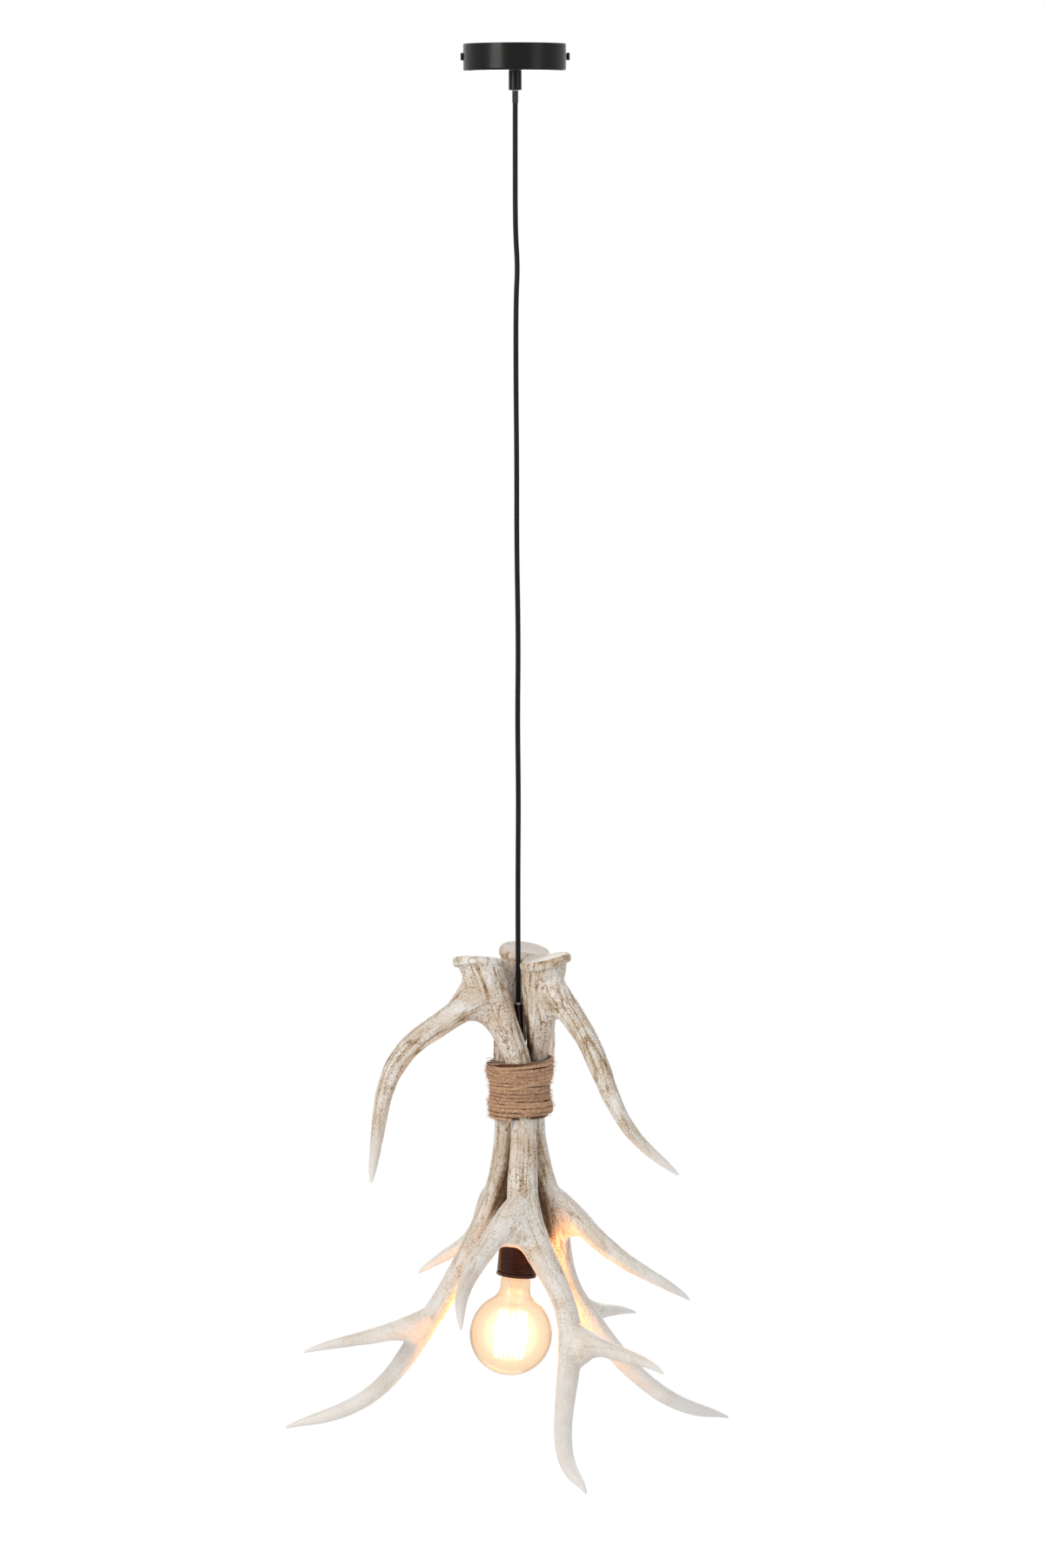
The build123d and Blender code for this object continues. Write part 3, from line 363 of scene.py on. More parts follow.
LAMP = moved(1.2, 4.0, -930.0) @ turned(-0.5, -1.0)
TUBE_L, TUBE_BEND, TUBE_BEND_R, TUBE_TAIL = 196.0, 6.4, 120.0, 14.0
HOLDER_TOP = 9.0
bend = math.radians(TUBE_BEND)
bend_reach = TUBE_BEND_R * math.tan(bend / 2)
BEND_CORNER = (0.0, 0.0, -TUBE_L - bend_reach)
tail_run = bend_reach + TUBE_TAIL
TUBE_END = (-tail_run * math.sin(bend), 0.0, BEND_CORNER[2] - tail_run * math.cos(bend))
HOLDER = LAMP @ moved(*TUBE_END) @ turned(0, TUBE_BEND) @ moved(0, 0, HOLDER_TOP)
print("lampholder's top, mm:", [round(c / MM, 1) for c in HOLDER.translation])

# %% The three short bits of cord
def in_frame(place, points):
    """Points in millimetres in a piece's own frame, as metres in the room."""
    return [tuple(place @ (Vector(point) * MM)) for point in points]


def pick(thing, *others):
    """Selects pieces and nothing else, and makes the first of them the active one."""
    bpy.ops.object.select_all(action="DESELECT")
    for piece in (thing, *others):
        piece.select_set(True)
    bpy.context.view_layer.objects.active = thing


def to_mesh(curve):
    """Turns a curve object into a mesh object."""
    pick(curve)
    bpy.ops.object.convert(target="MESH")


def cord_bit(name, node, body, points, girths=()):
    """A short bit of the cord as a mesh, thinner or thicker where girths say so."""
    bit = round_curve(name, CORD_R, 3, 12)
    for point, girth in zip(add_line(bit, points).points, girths):
        point.radius = girth
    to_mesh(bit)
    bit.data.materials.append(flex_pvc)
    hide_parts(node)
    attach(bit, body)
    return bit


HELD = [(0, 0, z) for z in (-15.3, -23.0, -31.0, -38.8)]
BALL = [(0, 0, z) for z in (-39.15, -39.4, -40.2, -41.6, -43.0, -43.8, -44.05)]
BALL_GIRTHS = (0.25, 0.7, 0.97, 1.0, 0.97, 0.7, 0.25)
SHEATHED = [(0, 0, 1.6), (0, 0, -60), (0, 0, -130), BEND_CORNER, TUBE_END]
held = cord_bit("flex_in_canopy", "cord_in_canopy", "canopy", in_frame(Matrix(), HELD))
flexed = cord_bit("flex_at_bend", "cord_bend", "bend", in_frame(Matrix(), BALL), BALL_GIRTHS)
sheathed = cord_bit("flex_in_tube", "cord_in_tube", "lamp", in_frame(LAMP, SHEATHED))
print("bits of cord:", held.name, flexed.name, sheathed.name)

# %% [markdown]
# ## The braided collar
# Just under the grip the cord wears a short, rough sleeve. It is a braid of eight flat-lying
# strands, four wound each way, which pass over and under each other. Each strand is one curve whose
# distance from the cord rises and falls where it crosses the others.

# %% Collar
braid_yarn, tree, shader = new_material("black polyester braid")
# Dull spun yarn: dark grey where light catches the crossings, with a soft bloom of sheen.
set_shader(shader, Roughness=0.85, Sheen_Weight=0.4, Sheen_Roughness=0.5, Specular_IOR_Level=0.3)
place = grain_bump(tree, shader, 0.35, 0.08, 0.7)
varied(tree, shader, "Base Color", place, 0.9, colour("#1b1b1c"), colour("#504e4a"))

COLLAR_TOP, COLLAR_L, COLLAR_R, STRANDS = -44.4, 12.0, 3.2, 4
YARN_R, YARN_RISE, YARN_TURNS, YARN_STEPS = 0.4, 0.22, 1.6, 48


def strand(start_angle, way):
    """The points of one strand, in metres. It rises over the strands of the other way and dips under."""
    points = []
    for i in range(YARN_STEPS + 1):
        share = i / YARN_STEPS
        angle = start_angle + way * 2 * math.pi * YARN_TURNS * share
        rise = YARN_RISE * math.cos(STRANDS * (angle - way * start_angle) * way)
        radius = COLLAR_R - YARN_R - YARN_RISE + rise
        height = COLLAR_TOP - YARN_R - share * (COLLAR_L - 2 * YARN_R)
        points.append((radius * math.cos(angle) * MM, radius * math.sin(angle) * MM, height * MM))
    return points


collar = round_curve("braided_collar", YARN_R, 1, 2)
for i in range(STRANDS):
    for way in (-1, 1):
        add_line(collar, strand(2 * math.pi * i / STRANDS, way))
collar.data.materials.append(braid_yarn)
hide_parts("cord_collar")
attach(collar, "hanging_cord")
print("collar strands:", len(collar.data.splines))

# %% [markdown]
# ## How an antler is laid out
# All three antlers are the same casting, turned to three places round the tube. Grooves run along a
# limb and die out towards its tip, so every point of the skin has to know which limb it is on, how
# far along that limb, and on which side of it. The limbs' middle lines are written here once. A
# smooth line through them carries two side directions that never twist, like the grain of a branch.

# %% Limbs of the casting
BIND_DROP = 83.0
# Turn round the tube and the leans about X and Y in degrees, and how far each casting is raised.
ANTLERS = {
    "antler_front": (211.4, -0.3, -0.2, -1.9),
    "antler_right": (322.6, -1.5, 1.7, 0.0),
    "antler_left": (93.0, 1.3, -0.7, 0.5),
}
# x, y, z and mean girth radius, in the casting's frame
LIMBS = {
    "beam": [(36, -10, 43, 21), (31, -6, 25, 20), (26, -1, 5, 18), (20, 6, -19, 15), (11, 13, -48, 12),
             (6, 14, -89, 11.5), (6, 15, -130, 12.5), (12, 20, -170, 14), (16, 30, -201, 14.5),
             (9, 53, -245, 13), (3, 81, -288, 11), (14, 104, -325, 11), (39, 133, -371, 9.3),
             (67, 179, -410, 7.8), (77, 212, -422, 5.6), (84, 241, -431, 1.5)],
    "brow": [(28, -3, 12, 14.5), (54, -5, 5, 14), (81, -15, -13, 11.5), (116, -31, -44, 10.5),
             (137, -31, -83, 8.3), (157, -12, -123, 6), (170, 4, -141, 4.2), (180, 17, -154, 1.3)],
    "second": [(14, 26, -186, 11), (48, 34, -212, 11.5), (84, 46, -243, 8.7), (108, 64, -262, 6.9),
               (124, 85, -277, 4.7), (134, 102, -290, 1.3)],
    "third": [(7, 92, -304, 8.5), (1, 114, -314, 10), (-5, 135, -319, 9), (-14, 172, -324, 6.2),
              (-18, 200, -328, 4), (-18, 221, -333, 1.3)],
}
# How rough each limb is from its root to its tip: shares of its length, and roughness.
ROUGHNESS = {
    "beam": ([0.0, 0.15, 0.42, 0.55, 0.72, 0.88, 1.0], [1.0, 0.9, 0.8, 0.6, 0.34, 0.16, 0.05]),
    "brow": ([0.0, 0.35, 0.6, 0.8, 0.92, 1.0], [0.9, 0.95, 0.85, 0.5, 0.15, 0.0]),
    "second": ([0.0, 0.4, 0.7, 0.9, 1.0], [0.75, 0.6, 0.4, 0.15, 0.0]),
    "third": ([0.0, 0.4, 0.7, 0.9, 1.0], [0.5, 0.35, 0.25, 0.1, 0.0]),
}


def antler_place(name):
    """The matrix that puts the casting in its place in the bundle."""
    azimuth, lean_x, lean_y, raised = ANTLERS[name]
    stand = turned(lean_x, lean_y) @ moved(0, 0, raised) @ turned(z=azimuth)
    return LAMP @ moved(0, 0, -BIND_DROP) @ stand @ moved(0, 0, BIND_DROP)


def smooth_line(rows, per_run=14):
    """Points, directions, two side directions, radii and distances along a smooth line through the rows."""
    rows = np.array(rows, float)
    padded = np.vstack([2 * rows[0] - rows[1], rows, 2 * rows[-1] - rows[-2]])
    samples = []
    for a, b, c, d in zip(padded, padded[1:], padded[2:], padded[3:]):
        t = np.linspace(0, 1, per_run, endpoint=False)[:, None]
        samples.append(0.5 * (2 * b + (c - a) * t + (2 * a - 5 * b + 4 * c - d) * t ** 2
                              + (3 * b - a - 3 * c + d) * t ** 3))
    line = np.vstack(samples + [rows[-1:]])
    points, radii = line[:, :3], line[:, 3]
    runs = np.gradient(points, axis=0)
    runs /= np.linalg.norm(runs, axis=1)[:, None]
    sides = [np.cross(runs[0], (0.0, 0.0, 1.0)) + 1e-9]
    for run in runs[1:]:
        side = sides[-1] - run * sides[-1].dot(run)
        sides.append(side / np.linalg.norm(side))
    sides[0] = sides[1]
    sides = np.array(sides)
    distances = np.concatenate([[0], np.cumsum(np.linalg.norm(np.diff(points, axis=0), axis=1))])
    return points, runs, sides, np.cross(runs, sides), radii, distances


LINES = {limb: smooth_line(rows) for limb, rows in LIMBS.items()}
print("limb lengths, mm:", {limb: round(line[5][-1]) for limb, line in LINES.items()})

# %% [markdown]
# ## Relief of the skin
# Real antler has long channels where blood vessels lay, a fine pearly grit between them, and a
# knobbly collar, the burr, at its root. The relief is added by moving each point of a fine, even
# mesh along its normal. Noise that is stretched along the limb makes the channels, and noise that is
# even in all directions makes the grit.

# %% Noise on arrays of points
# Large odd numbers that scatter the corners of the grid, the seeds and the result.
GRID_HASH, SEED_HASH, LAST_HASH = (73856093, 19349663, 83492791), 40503, 1274126177


def fade(values, start, stop):
    """0 at the start, 1 at the stop, straight between them and level outside."""
    return np.clip((values - start) / (stop - start), 0, 1)


def cloudy(points, seed=0):
    """Smooth noise from -1 to 1 at an array of points, with grains about one unit across."""
    cell = np.floor(points).astype(np.int64)
    part = points - cell
    ease = part * part * (3 - 2 * part)
    total = np.zeros(len(points))
    for i in range(8):
        corner = np.array([i & 1, i >> 1 & 1, i >> 2 & 1])
        mixed = (cell + corner) * GRID_HASH
        number = mixed[:, 0] ^ mixed[:, 1] ^ mixed[:, 2] ^ (seed * SEED_HASH)
        number = (number ^ number >> 13) * LAST_HASH
        value = ((number ^ number >> 16) & 0xFFFF) / 0x7FFF - 1
        total += value * np.prod(np.where(corner, ease, 1 - ease), axis=1)
    return total


def channel(wave, width):
    """1 in the middle of the thin lines where the noise crosses zero, falling to 0 at the width."""
    return np.clip(1 - np.abs(wave) / width, 0, 1) ** 1.3


def on_limb(limb, spots, block_size=4000, slack=6):
    """For each spot: its offset across the limb, its distance along it, and how far out it lies. Comes
    with the limb's length."""
    points, runs, sides, others, radii, distances = LINES[limb]
    near = np.empty(len(spots), int)
    for start in range(0, len(spots), block_size):
        block = spots[start:start + block_size]
        gaps = ((block[:, None, :] - points[None]) ** 2).sum(axis=2)
        near[start:start + block_size] = gaps.argmin(axis=1)
    gap = spots - points[near]
    along = (gap * runs[near]).sum(axis=1)
    across = np.stack([(gap * sides[near]).sum(axis=1), (gap * others[near]).sum(axis=1)], axis=1)
    outness = (np.linalg.norm(across, axis=1) + np.maximum(0, np.abs(along) - slack)) / radii[near]
    return across, distances[near] + along, outness, distances[-1]


print("noise test:", np.round(cloudy(np.array([[0.5, 0.2, 0.1], [3.3, 1.2, 9.8]])), 3))

# %% Relief from the limbs, the grit and the burr
BURR_AT = np.array((37.0, -11.0, 48.0))
BURR_R, BURR_TILT, BURR_TOWARDS = 21.0, math.radians(14.0), math.radians(-140.0)
BURR_UP = np.array((math.sin(BURR_TILT) * math.cos(BURR_TOWARDS),
                    math.sin(BURR_TILT) * math.sin(BURR_TOWARDS), math.cos(BURR_TILT)))
# Width and length of the grain that the deep and the fine channels follow, the width of their lines in
# that grain, and how soon they die out where the limb is smooth.
DEEP_GRAIN, FINE_GRAIN = (3.8, 60, 0.2, 1.7), (1.9, 26, 0.3, 1.4)
# Depths and heights of the channels, the swellings and the grit, and how sharply limbs part in a fork.
DEEP, FINE, SWELL, PEARL = 0.7, 0.25, 0.4, 0.14
PARTING = 8
# Sizes of the slow swellings, the pearly grit, the burr's knobs and its chips.
CLOUD_SIZES = (13, 2.3, 5.5, 2.1)


def grooves(across, run, share, seed, wide, long, line, dying):
    """Channels along a limb, deepest where its share of roughness is high."""
    grain = np.column_stack([across / wide, run / long])
    return share ** dying * channel(cloudy(grain, seed), line)


def limb_values(spots, seed):
    """Channels and roughness at each spot, mixed smoothly where two limbs meet."""
    found = {limb: on_limb(limb, spots) for limb in LIMBS}
    least = np.min([found[limb][2] for limb in LIMBS], axis=0)
    weights, deep, fine, rough = 0, 0, 0, 0
    for limb, (across, run, outness, length) in found.items():
        weight = np.exp(-PARTING * (outness - least))
        share = np.interp(run / length, *ROUGHNESS[limb])
        deep = deep + weight * grooves(across, run, share, seed, *DEEP_GRAIN)
        fine = fine + weight * grooves(across, run, share, seed + 5, *FINE_GRAIN)
        rough = rough + weight * share
        weights = weights + weight
    return deep / weights, fine / weights, rough / weights


def burr_values(spots):
    """How much each spot belongs to the burr's rim and to its flat top, and how far out it is."""
    from_burr = spots - BURR_AT
    height = from_burr @ BURR_UP
    radius = np.linalg.norm(from_burr - height[:, None] * BURR_UP, axis=1)
    rim = fade(radius, BURR_R - 0.5, BURR_R + 2.5) * fade(height, -11, -8.5)
    top = fade(height, -1.2, -0.3) * fade(radius, BURR_R + 1.5, BURR_R - 1.5)
    return rim, top, radius


def relief(spots, seed):
    """How far each spot of the skin moves out, and the values that its colour needs."""
    deep, fine, rough = limb_values(spots, seed)
    rim, top, radius = burr_values(spots)
    swell, pearl, knob, chip = (cloudy(spots / size, seed + 1 + i) for i, size in enumerate(CLOUD_SIZES))
    knob = np.abs(knob)
    body = -DEEP * deep - FINE * fine + SWELL * swell * (0.2 + rough) + PEARL * pearl * rough
    # The burr's rim stands out in chipped knobs, and its sawn top is slightly dished.
    crown = 0.7 + 0.8 * (knob - 0.3) + 0.2 * chip
    face = -0.8 * (1 - np.clip(radius / BURR_R, 0, 1) ** 2) + 0.1 * chip
    move = body * (1 - rim) * (1 - top) + crown * rim * (1 - top) + face * top
    # The stain stays in the channels, between the grains of the grit and between the knobs.
    hollow = np.clip(0.62 * deep + 0.3 * fine - 0.15 * pearl * rough, 0, 1) * (1 - top)
    hollow = hollow * (1 - rim) + rim * (1 - top) * np.clip(0.5 - 1.8 * knob, 0, 1)
    return move, {"hollow": hollow, "rough": rough * (1 - top), "sawn": top}


# %% [markdown]
# ## The antlers
# The measured antler is a union of plain tapering limbs, with a crease wherever two of them meet. In
# real antler the forks are filled by broad webs. A copy with a coarse, even mesh grows those webs and
# is smoothed outwards many times, and then it is joined with a second copy under one fine, even skin.
# A voxel remesh makes such a skin round whatever it is given. The relief is added last.

# %% Tools for a skin
def copy_of(node, name):
    """A merged copy of a measured piece's mesh, as an object of its own."""
    thing = new_object(name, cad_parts[node].data.copy())
    thing.data.materials.clear()
    pick(thing)
    bpy.ops.object.mode_set(mode="EDIT")
    bpy.ops.mesh.select_all(action="SELECT")
    bpy.ops.mesh.remove_doubles(threshold=0.01 * MM)
    bpy.ops.object.mode_set(mode="OBJECT")
    return thing


def apply_modifier(thing, kind, **settings):
    """Gives a piece a modifier and applies it."""
    pick(thing)
    modifier = thing.modifiers.new(kind, kind)
    for name, value in settings.items():
        setattr(modifier, name, value)
    bpy.ops.object.modifier_apply(modifier=modifier.name)


def even_skin(thing, voxel_mm, smoothing):
    """An even mesh of the given fineness over a piece, with its creases melted."""
    apply_modifier(thing, "REMESH", mode="VOXEL", voxel_size=voxel_mm * MM)
    apply_modifier(thing, "SMOOTH", factor=0.5, iterations=smoothing)


def write_values(mesh, values):
    """Keeps one number per point for the material to read."""
    for name, numbers in values.items():
        attribute = mesh.attributes.new(name, "FLOAT", "POINT")
        attribute.data.foreach_set("value", np.asarray(numbers, np.float32))


def read_points(mesh):
    """The places and the normals of a mesh's points."""
    places, normals = np.empty(3 * len(mesh.vertices)), np.empty(3 * len(mesh.vertices))
    mesh.vertices.foreach_get("co", places)
    mesh.vertices.foreach_get("normal", normals)
    return places.reshape(-1, 3), normals.reshape(-1, 3)


def push_out(mesh, millimetres):
    """Moves each point of a mesh along its normal."""
    places, normals = read_points(mesh)
    mesh.vertices.foreach_set("co", (places + normals * millimetres[:, None] * MM).ravel())
    mesh.update()


def shade_smooth(mesh):
    """Shades every face as part of a round surface."""
    mesh.polygons.foreach_set("use_smooth", [True] * len(mesh.polygons))


def seen_from(place, places):
    """Points in metres as millimetres in a piece's own frame."""
    back = np.array(place.inverted())
    return (places @ back[:3, :3].T + back[:3, 3]) / MM


# %% Webs in the forks
WEB_VOXEL, WEB_STEPS, FILLINGS, MELT_ROUNDS = 2.6, 5, 14, 20
# The deep webs of the two lower forks, in the casting's frame: middle, reach and height.
WEBS = [((37.0, 38.0, -225.0), 21.0, 9.0), ((4.0, 116.0, -333.0), 16.0, 6.0)]
# The beam behind the tube bulges in the lamp's frame, and closes the view between the other two.
BULGE = ((7.0, 15.0, -37.0), 24.0, 11.0)


def swollen(spots, middle, reach, height):
    """A soft swelling round a middle."""
    gap = np.linalg.norm(spots - np.array(middle), axis=1)
    return height * np.clip(1 - gap / reach, 0, 1) ** 1.5


def swell_webs(skin, node):
    """Grows the webs of the forks in steps, with a new even mesh after each, so that nothing folds."""
    for _ in range(WEB_STEPS):
        places = read_points(skin.data)[0]
        move = sum(swollen(seen_from(antler_place(node), places), *web) for web in WEBS)
        if node == "antler_left":
            move = move + swollen(seen_from(LAMP, places), *BULGE)
        push_out(skin.data, move / WEB_STEPS)
        even_skin(skin, WEB_VOXEL, 3)


def fill_forks(skin, node):
    """Moves the skin out, never in, to where a long smoothing would put it. The tube's bed and the burr
    stay. Returns the longest move."""
    softened = new_object("softened", skin.data.copy())
    apply_modifier(softened, "SMOOTH", factor=0.5, iterations=MELT_ROUNDS)
    places, normals = read_points(skin.data)
    out = ((read_points(softened.data)[0] - places) * normals).sum(axis=1) / MM
    bpy.data.objects.remove(softened)
    from_tube = np.linalg.norm(seen_from(LAMP, places)[:, :2], axis=1)
    under_burr = -((seen_from(antler_place(node), places) - BURR_AT) @ BURR_UP)
    out = np.clip(out, 0, None) * fade(from_tube, 9, 13) * fade(under_burr, 13, 21)
    push_out(skin.data, out)
    return out.max()


# %% One antler
SKIN_VOXEL, SKIN_SMOOTHING = ((1.0, 5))
# One casting made all three, so one seed draws their relief.
CASTING_SEED = 11


def painted_shade_near_tube(places, normals):
    """1 on the faces near the tube that look at it, which the material darkens with painted shade between
    the beams, 0 outside.
    """
    spots = seen_from(LAMP, places)
    from_tube = np.hypot(spots[:, 0], spots[:, 1])
    outwards = spots[:, :2] / from_tube[:, None]
    facing_out = (normals[:, :2] * outwards).sum(axis=1)
    return fade(facing_out, 0.3, -0.3) * fade(from_tube, 34, 24) * fade(spots[:, 2], 10, -20)


def make_antler(node):
    """The finished skin of one antler."""
    skin, webs = copy_of(node, node + "_skin"), copy_of(node, node + "_webs")
    even_skin(webs, WEB_VOXEL, 1)
    swell_webs(webs, node)
    filled = sum(fill_forks(webs, node) for _ in range(FILLINGS))
    print(node, "forks filled by, mm:", round(float(filled), 1))
    pick(skin, webs)
    bpy.ops.object.join()
    even_skin(skin, SKIN_VOXEL, SKIN_SMOOTHING)
    places, normals = read_points(skin.data)
    move, values = relief(seen_from(antler_place(node), places), CASTING_SEED)
    # The faces that look at the tube are kept for a painted shade between the beams.
    values["inner"] = painted_shade_near_tube(places, normals)
    push_out(skin.data, move)
    write_values(skin.data, values)
    shade_smooth(skin.data)
    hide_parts(node)
    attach(skin, "lamp")
    return skin


antlers = [make_antler(node) for node in ANTLERS]
print("antler faces:", [len(skin.data.polygons) for skin in antlers])

# %% [markdown]
# ## Whitewashed resin
# The antlers are cast in resin. They were stained brown and then rubbed over with white, so the
# brown stays in the channels and pits and the ridges are chalky. The tips are smooth and nearly
# bare of stain. The material reads the values kept with the skin and breaks them up with noise.

# %% Resin finish
resin, tree, shader = new_material("whitewashed cast resin")
# Dull and slightly waxy: a broad soft highlight, and a little light passes under the surface.
set_shader(shader, IOR=1.5, Subsurface_Weight=0.12, Subsurface_Radius=(0.004, 0.0025, 0.0015),
           Subsurface_Scale=0.4)
place = grain_bump(tree, shader, 1.1, 0.35, 0.5, detail=4.0, rough=0.6)
hollow, rough, sawn, inner = (add(tree, "Attribute", attribute_name=name)
                              for name in ("hollow", "rough", "sawn", "inner"))
# The stain sits in small pits and dots, more of it in broad patches and on the rough limbs.
pits = add(tree, "TexNoise", {"Vector": (place, "Object"), "Scale": 1 / (1.5 * MM), "Detail": 3.0,
                              "Roughness": 0.55})
pitted = add(tree, "ValToRGB", {"Fac": (pits, "Fac")}, [(0.49, 0.0), (0.68, 0.72)])
dots = add(tree, "TexVoronoi", {"Vector": (place, "Object"), "Scale": 1 / (2.8 * MM)})
dotted = add(tree, "ValToRGB", {"Fac": (dots, "Distance")}, [(0.14, 0.6), (0.32, 0.0)])
patches = add(tree, "TexNoise", {"Vector": (place, "Object"), "Scale": 1 / (24 * MM), "Detail": 3.0})
patchy = add(tree, "ValToRGB", {"Fac": (patches, "Fac")}, [(0.38, 0.35), (0.62, 1.0)])
worn = add(tree, "Math", {0: (rough, "Fac"), 1: 0.7}, operation="POWER")
spread = add(tree, "Math", {0: (worn, "Value"), 1: (patchy, "Color")}, operation="MULTIPLY")
specks = add(tree, "Math", {0: (pitted, "Color"), 1: (dotted, "Color")}, operation="MAXIMUM")
speckle = add(tree, "Math", {0: (specks, "Value"), 1: (spread, "Value")}, operation="MULTIPLY")
# It also fills the channels. The faces near the tube that look at it are darkened with painted shade in the
# same browns, for the shade between the beams.
painted_shade_share = add(tree, "Math", {0: (inner, "Fac"), 1: 0.75}, operation="MULTIPLY")
outside = add(tree, "Math", {0: (hollow, "Fac"), 1: (speckle, "Value")}, operation="ADD")
# The painted shade near the tube is added to the real stain here, and both take the same browns.
stain_and_painted_shade = add(tree, "Math", {0: (outside, "Value"), 1: (painted_shade_share, "Value")}, operation="ADD", use_clamp=True)
stain_and_shade_colour = add(tree, "ValToRGB", {"Fac": (stain_and_painted_shade, "Value")}, [
    (0.0, colour("#ebe7e1")), (0.2, colour("#ded6cb")), (0.45, colour("#c2b098")),
    (0.75, colour("#94795b")), (1.0, colour("#6b5138"))])
# A thin tan wash lies in broad clouds over the rough parts.
clouds = add(tree, "TexNoise", {"Vector": (place, "Object"), "Scale": 1 / (32 * MM), "Detail": 4.0,
                                "Distortion": 0.6})
clouded = add(tree, "ValToRGB", {"Fac": (clouds, "Fac")}, [(0.42, 0.0), (0.66, 0.6)])
wash = add(tree, "Math", {0: (clouded, "Color"), 1: (rough, "Fac")}, operation="MULTIPLY")
washed = add(tree, "Mix", {"Factor": (wash, "Value"), "A": (stain_and_shade_colour, "Color"), "B": colour("#cfb083")},
             data_type="RGBA", blend_type="MULTIPLY")
# The sawn top of each burr is flat and beige.
flat = add(tree, "Mix", {"Factor": (sawn, "Fac"), "A": (washed, "Result"), "B": colour("#cbbfb2")},
           data_type="RGBA")
tree.links.new(flat.outputs["Result"], shader.inputs["Base Color"])
sheen = add(tree, "ValToRGB", {"Fac": (stain_and_painted_shade, "Value")}, [(0.0, 0.5), (1.0, 0.78)])
tree.links.new(sheen.outputs["Color"], shader.inputs["Roughness"])
for skin in antlers:
    skin.data.materials.append(resin)
print("resin nodes:", len(tree.nodes))

# %% [markdown]
# ## The jute binding
# Fifteen turns of three-ply jute hold the bundle. Each ply is a curve that winds round the twine's
# own helix, so that the twist of the rope shows as a slanting line in every turn. The turns wander a
# little, the top ones climb to the right, the first is tucked in, and three loose turns cross over the
# others.

# %% Line of the winding
TURNS, TUCKED_FROM, PITCH, WAIST_R = 14.7, -1.1, 3.62, 27.9
POINT_STEP = 1.1
CROSSING_TURNS = 0.95
# Where each crossing turn starts, in degrees, and the heights that it runs between.
CROSSINGS = ((150, -2, 22), (200, 12, 18), (170, -17, -23))
# The loose end leaves the last turn by these steps.
TAIL = ((-1.6, 0.4, -1.2), (-3.4, 1.6, -4.2), (-4.6, 3.6, -8.0), (-5.0, 6.0, -11.5))
random.seed(7)


def smoothstep(x):
    """0 up to 0, 1 from 1 on, with soft ends between."""
    x = min(max(x, 0), 1)
    return x * x * (3 - 2 * x)


def winding_radius(height):
    """Radius of the outer layer at a height: wider at the top, with a bulge at the foot."""
    return WAIST_R + 3.3 * smoothstep((height - 2) / 18) + 1.6 * math.exp(-((height + 20) / 9) ** 2)


def wander(turns, seed, grain=0.27):
    """Slow noise along the twine."""
    return noise.noise(Vector((turns / grain, seed * 7.3, 0.5)))


def round_lamp(radius, angle, height):
    """A point round the tube, in the lamp's frame, at a height over the binding's middle."""
    return Vector((radius * math.cos(angle), radius * math.sin(angle), height - BIND_DROP))


def winding_point(turns):
    """The middle of the twine after so many turns. The first turn is tucked inside the next."""
    angle = 2 * math.pi * turns
    tuck = smoothstep((0.3 - turns) / 0.6)
    height = PITCH * (7.5 - max(turns, 0)) + 1.2 * wander(turns, 1) + 0.8 * wander(turns, 3, 0.9)
    height += 2.4 * smoothstep((height - 12) / 12) * math.cos(angle - 0.3) - 1.3 * tuck
    radius = winding_radius(height) + 1.0 * wander(turns, 2) + 0.3 - 2.1 * tuck
    radius += 0.9 * smoothstep((height - 14) / 10) * math.cos(angle)
    return round_lamp(radius, angle, height)


def crossing_point(turns, start, low, high):
    """A loose turn: it climbs or falls across the others and dives under them at both ends."""
    share = turns / CROSSING_TURNS
    height = low + (high - low) * smoothstep(share)
    lift = 2.1 * math.sin(math.pi * min(share, 1)) - 0.9 + 0.4 * wander(turns, 4)
    return round_lamp(winding_radius(height) + lift, math.radians(start) + 2 * math.pi * turns, height)


def line_of(point_at, stop, start=0.0):
    """Points along a winding, from one number of turns to another."""
    count = int((stop - start) * 2 * math.pi * WAIST_R / POINT_STEP)
    return [point_at(start + (stop - start) * i / count) for i in range(count + 1)]


rope = line_of(winding_point, TURNS, TUCKED_FROM)
rope += [rope[-1] + Vector(step) for step in TAIL]
loose = [line_of(lambda turns, way=way: crossing_point(turns, *way), CROSSING_TURNS) for way in CROSSINGS]
print("twine, mm:", round(sum((b - a).length for a, b in zip(rope, rope[1:]))))

# %% Plies
PLY_R, PLY_OFFSET, LAY = 0.92, 0.78, 8.5
LUMP = 3.5


def plies(line, twist_from=0.0):
    """Three strands wound round a line."""
    strands = [[], [], []]
    run = twist_from
    for i, here in enumerate(line):
        ahead = line[min(i + 1, len(line) - 1)] - line[max(i - 1, 0)]
        run += ahead.length / 2
        ahead.normalize()
        out = Vector((here.x, here.y, 0))
        out = (out - ahead * out.dot(ahead)).normalized()
        up = ahead.cross(out)
        for k, strand in enumerate(strands):
            angle = 2 * math.pi * (run / LAY + k / 3)
            strand.append(here + (out * math.cos(angle) + up * math.sin(angle)) * PLY_OFFSET)
    return strands


def strand_curve(name, lines, radius, place, sides=1, uneven=0.0):
    """One curve object from several lines in millimetres in a piece's own frame."""
    thing = round_curve(name, radius, sides, 1)
    for line in lines:
        spline = add_line(thing, [place @ (co * MM) for co in line], "POLY")
        for point, co in zip(spline.points, line):
            point.radius = 1 + uneven * noise.noise(co / LUMP)
        spline.use_smooth = True
    return thing


twine = strand_curve("jute_winding", plies(rope), PLY_R, LAMP, uneven=0.5)
crossing = strand_curve("jute_crossing_turns", [ply for line in loose for ply in plies(line, 3.0)], PLY_R,
                        LAMP, uneven=0.5)
print("strands:", len(twine.data.splines), len(crossing.data.splines))

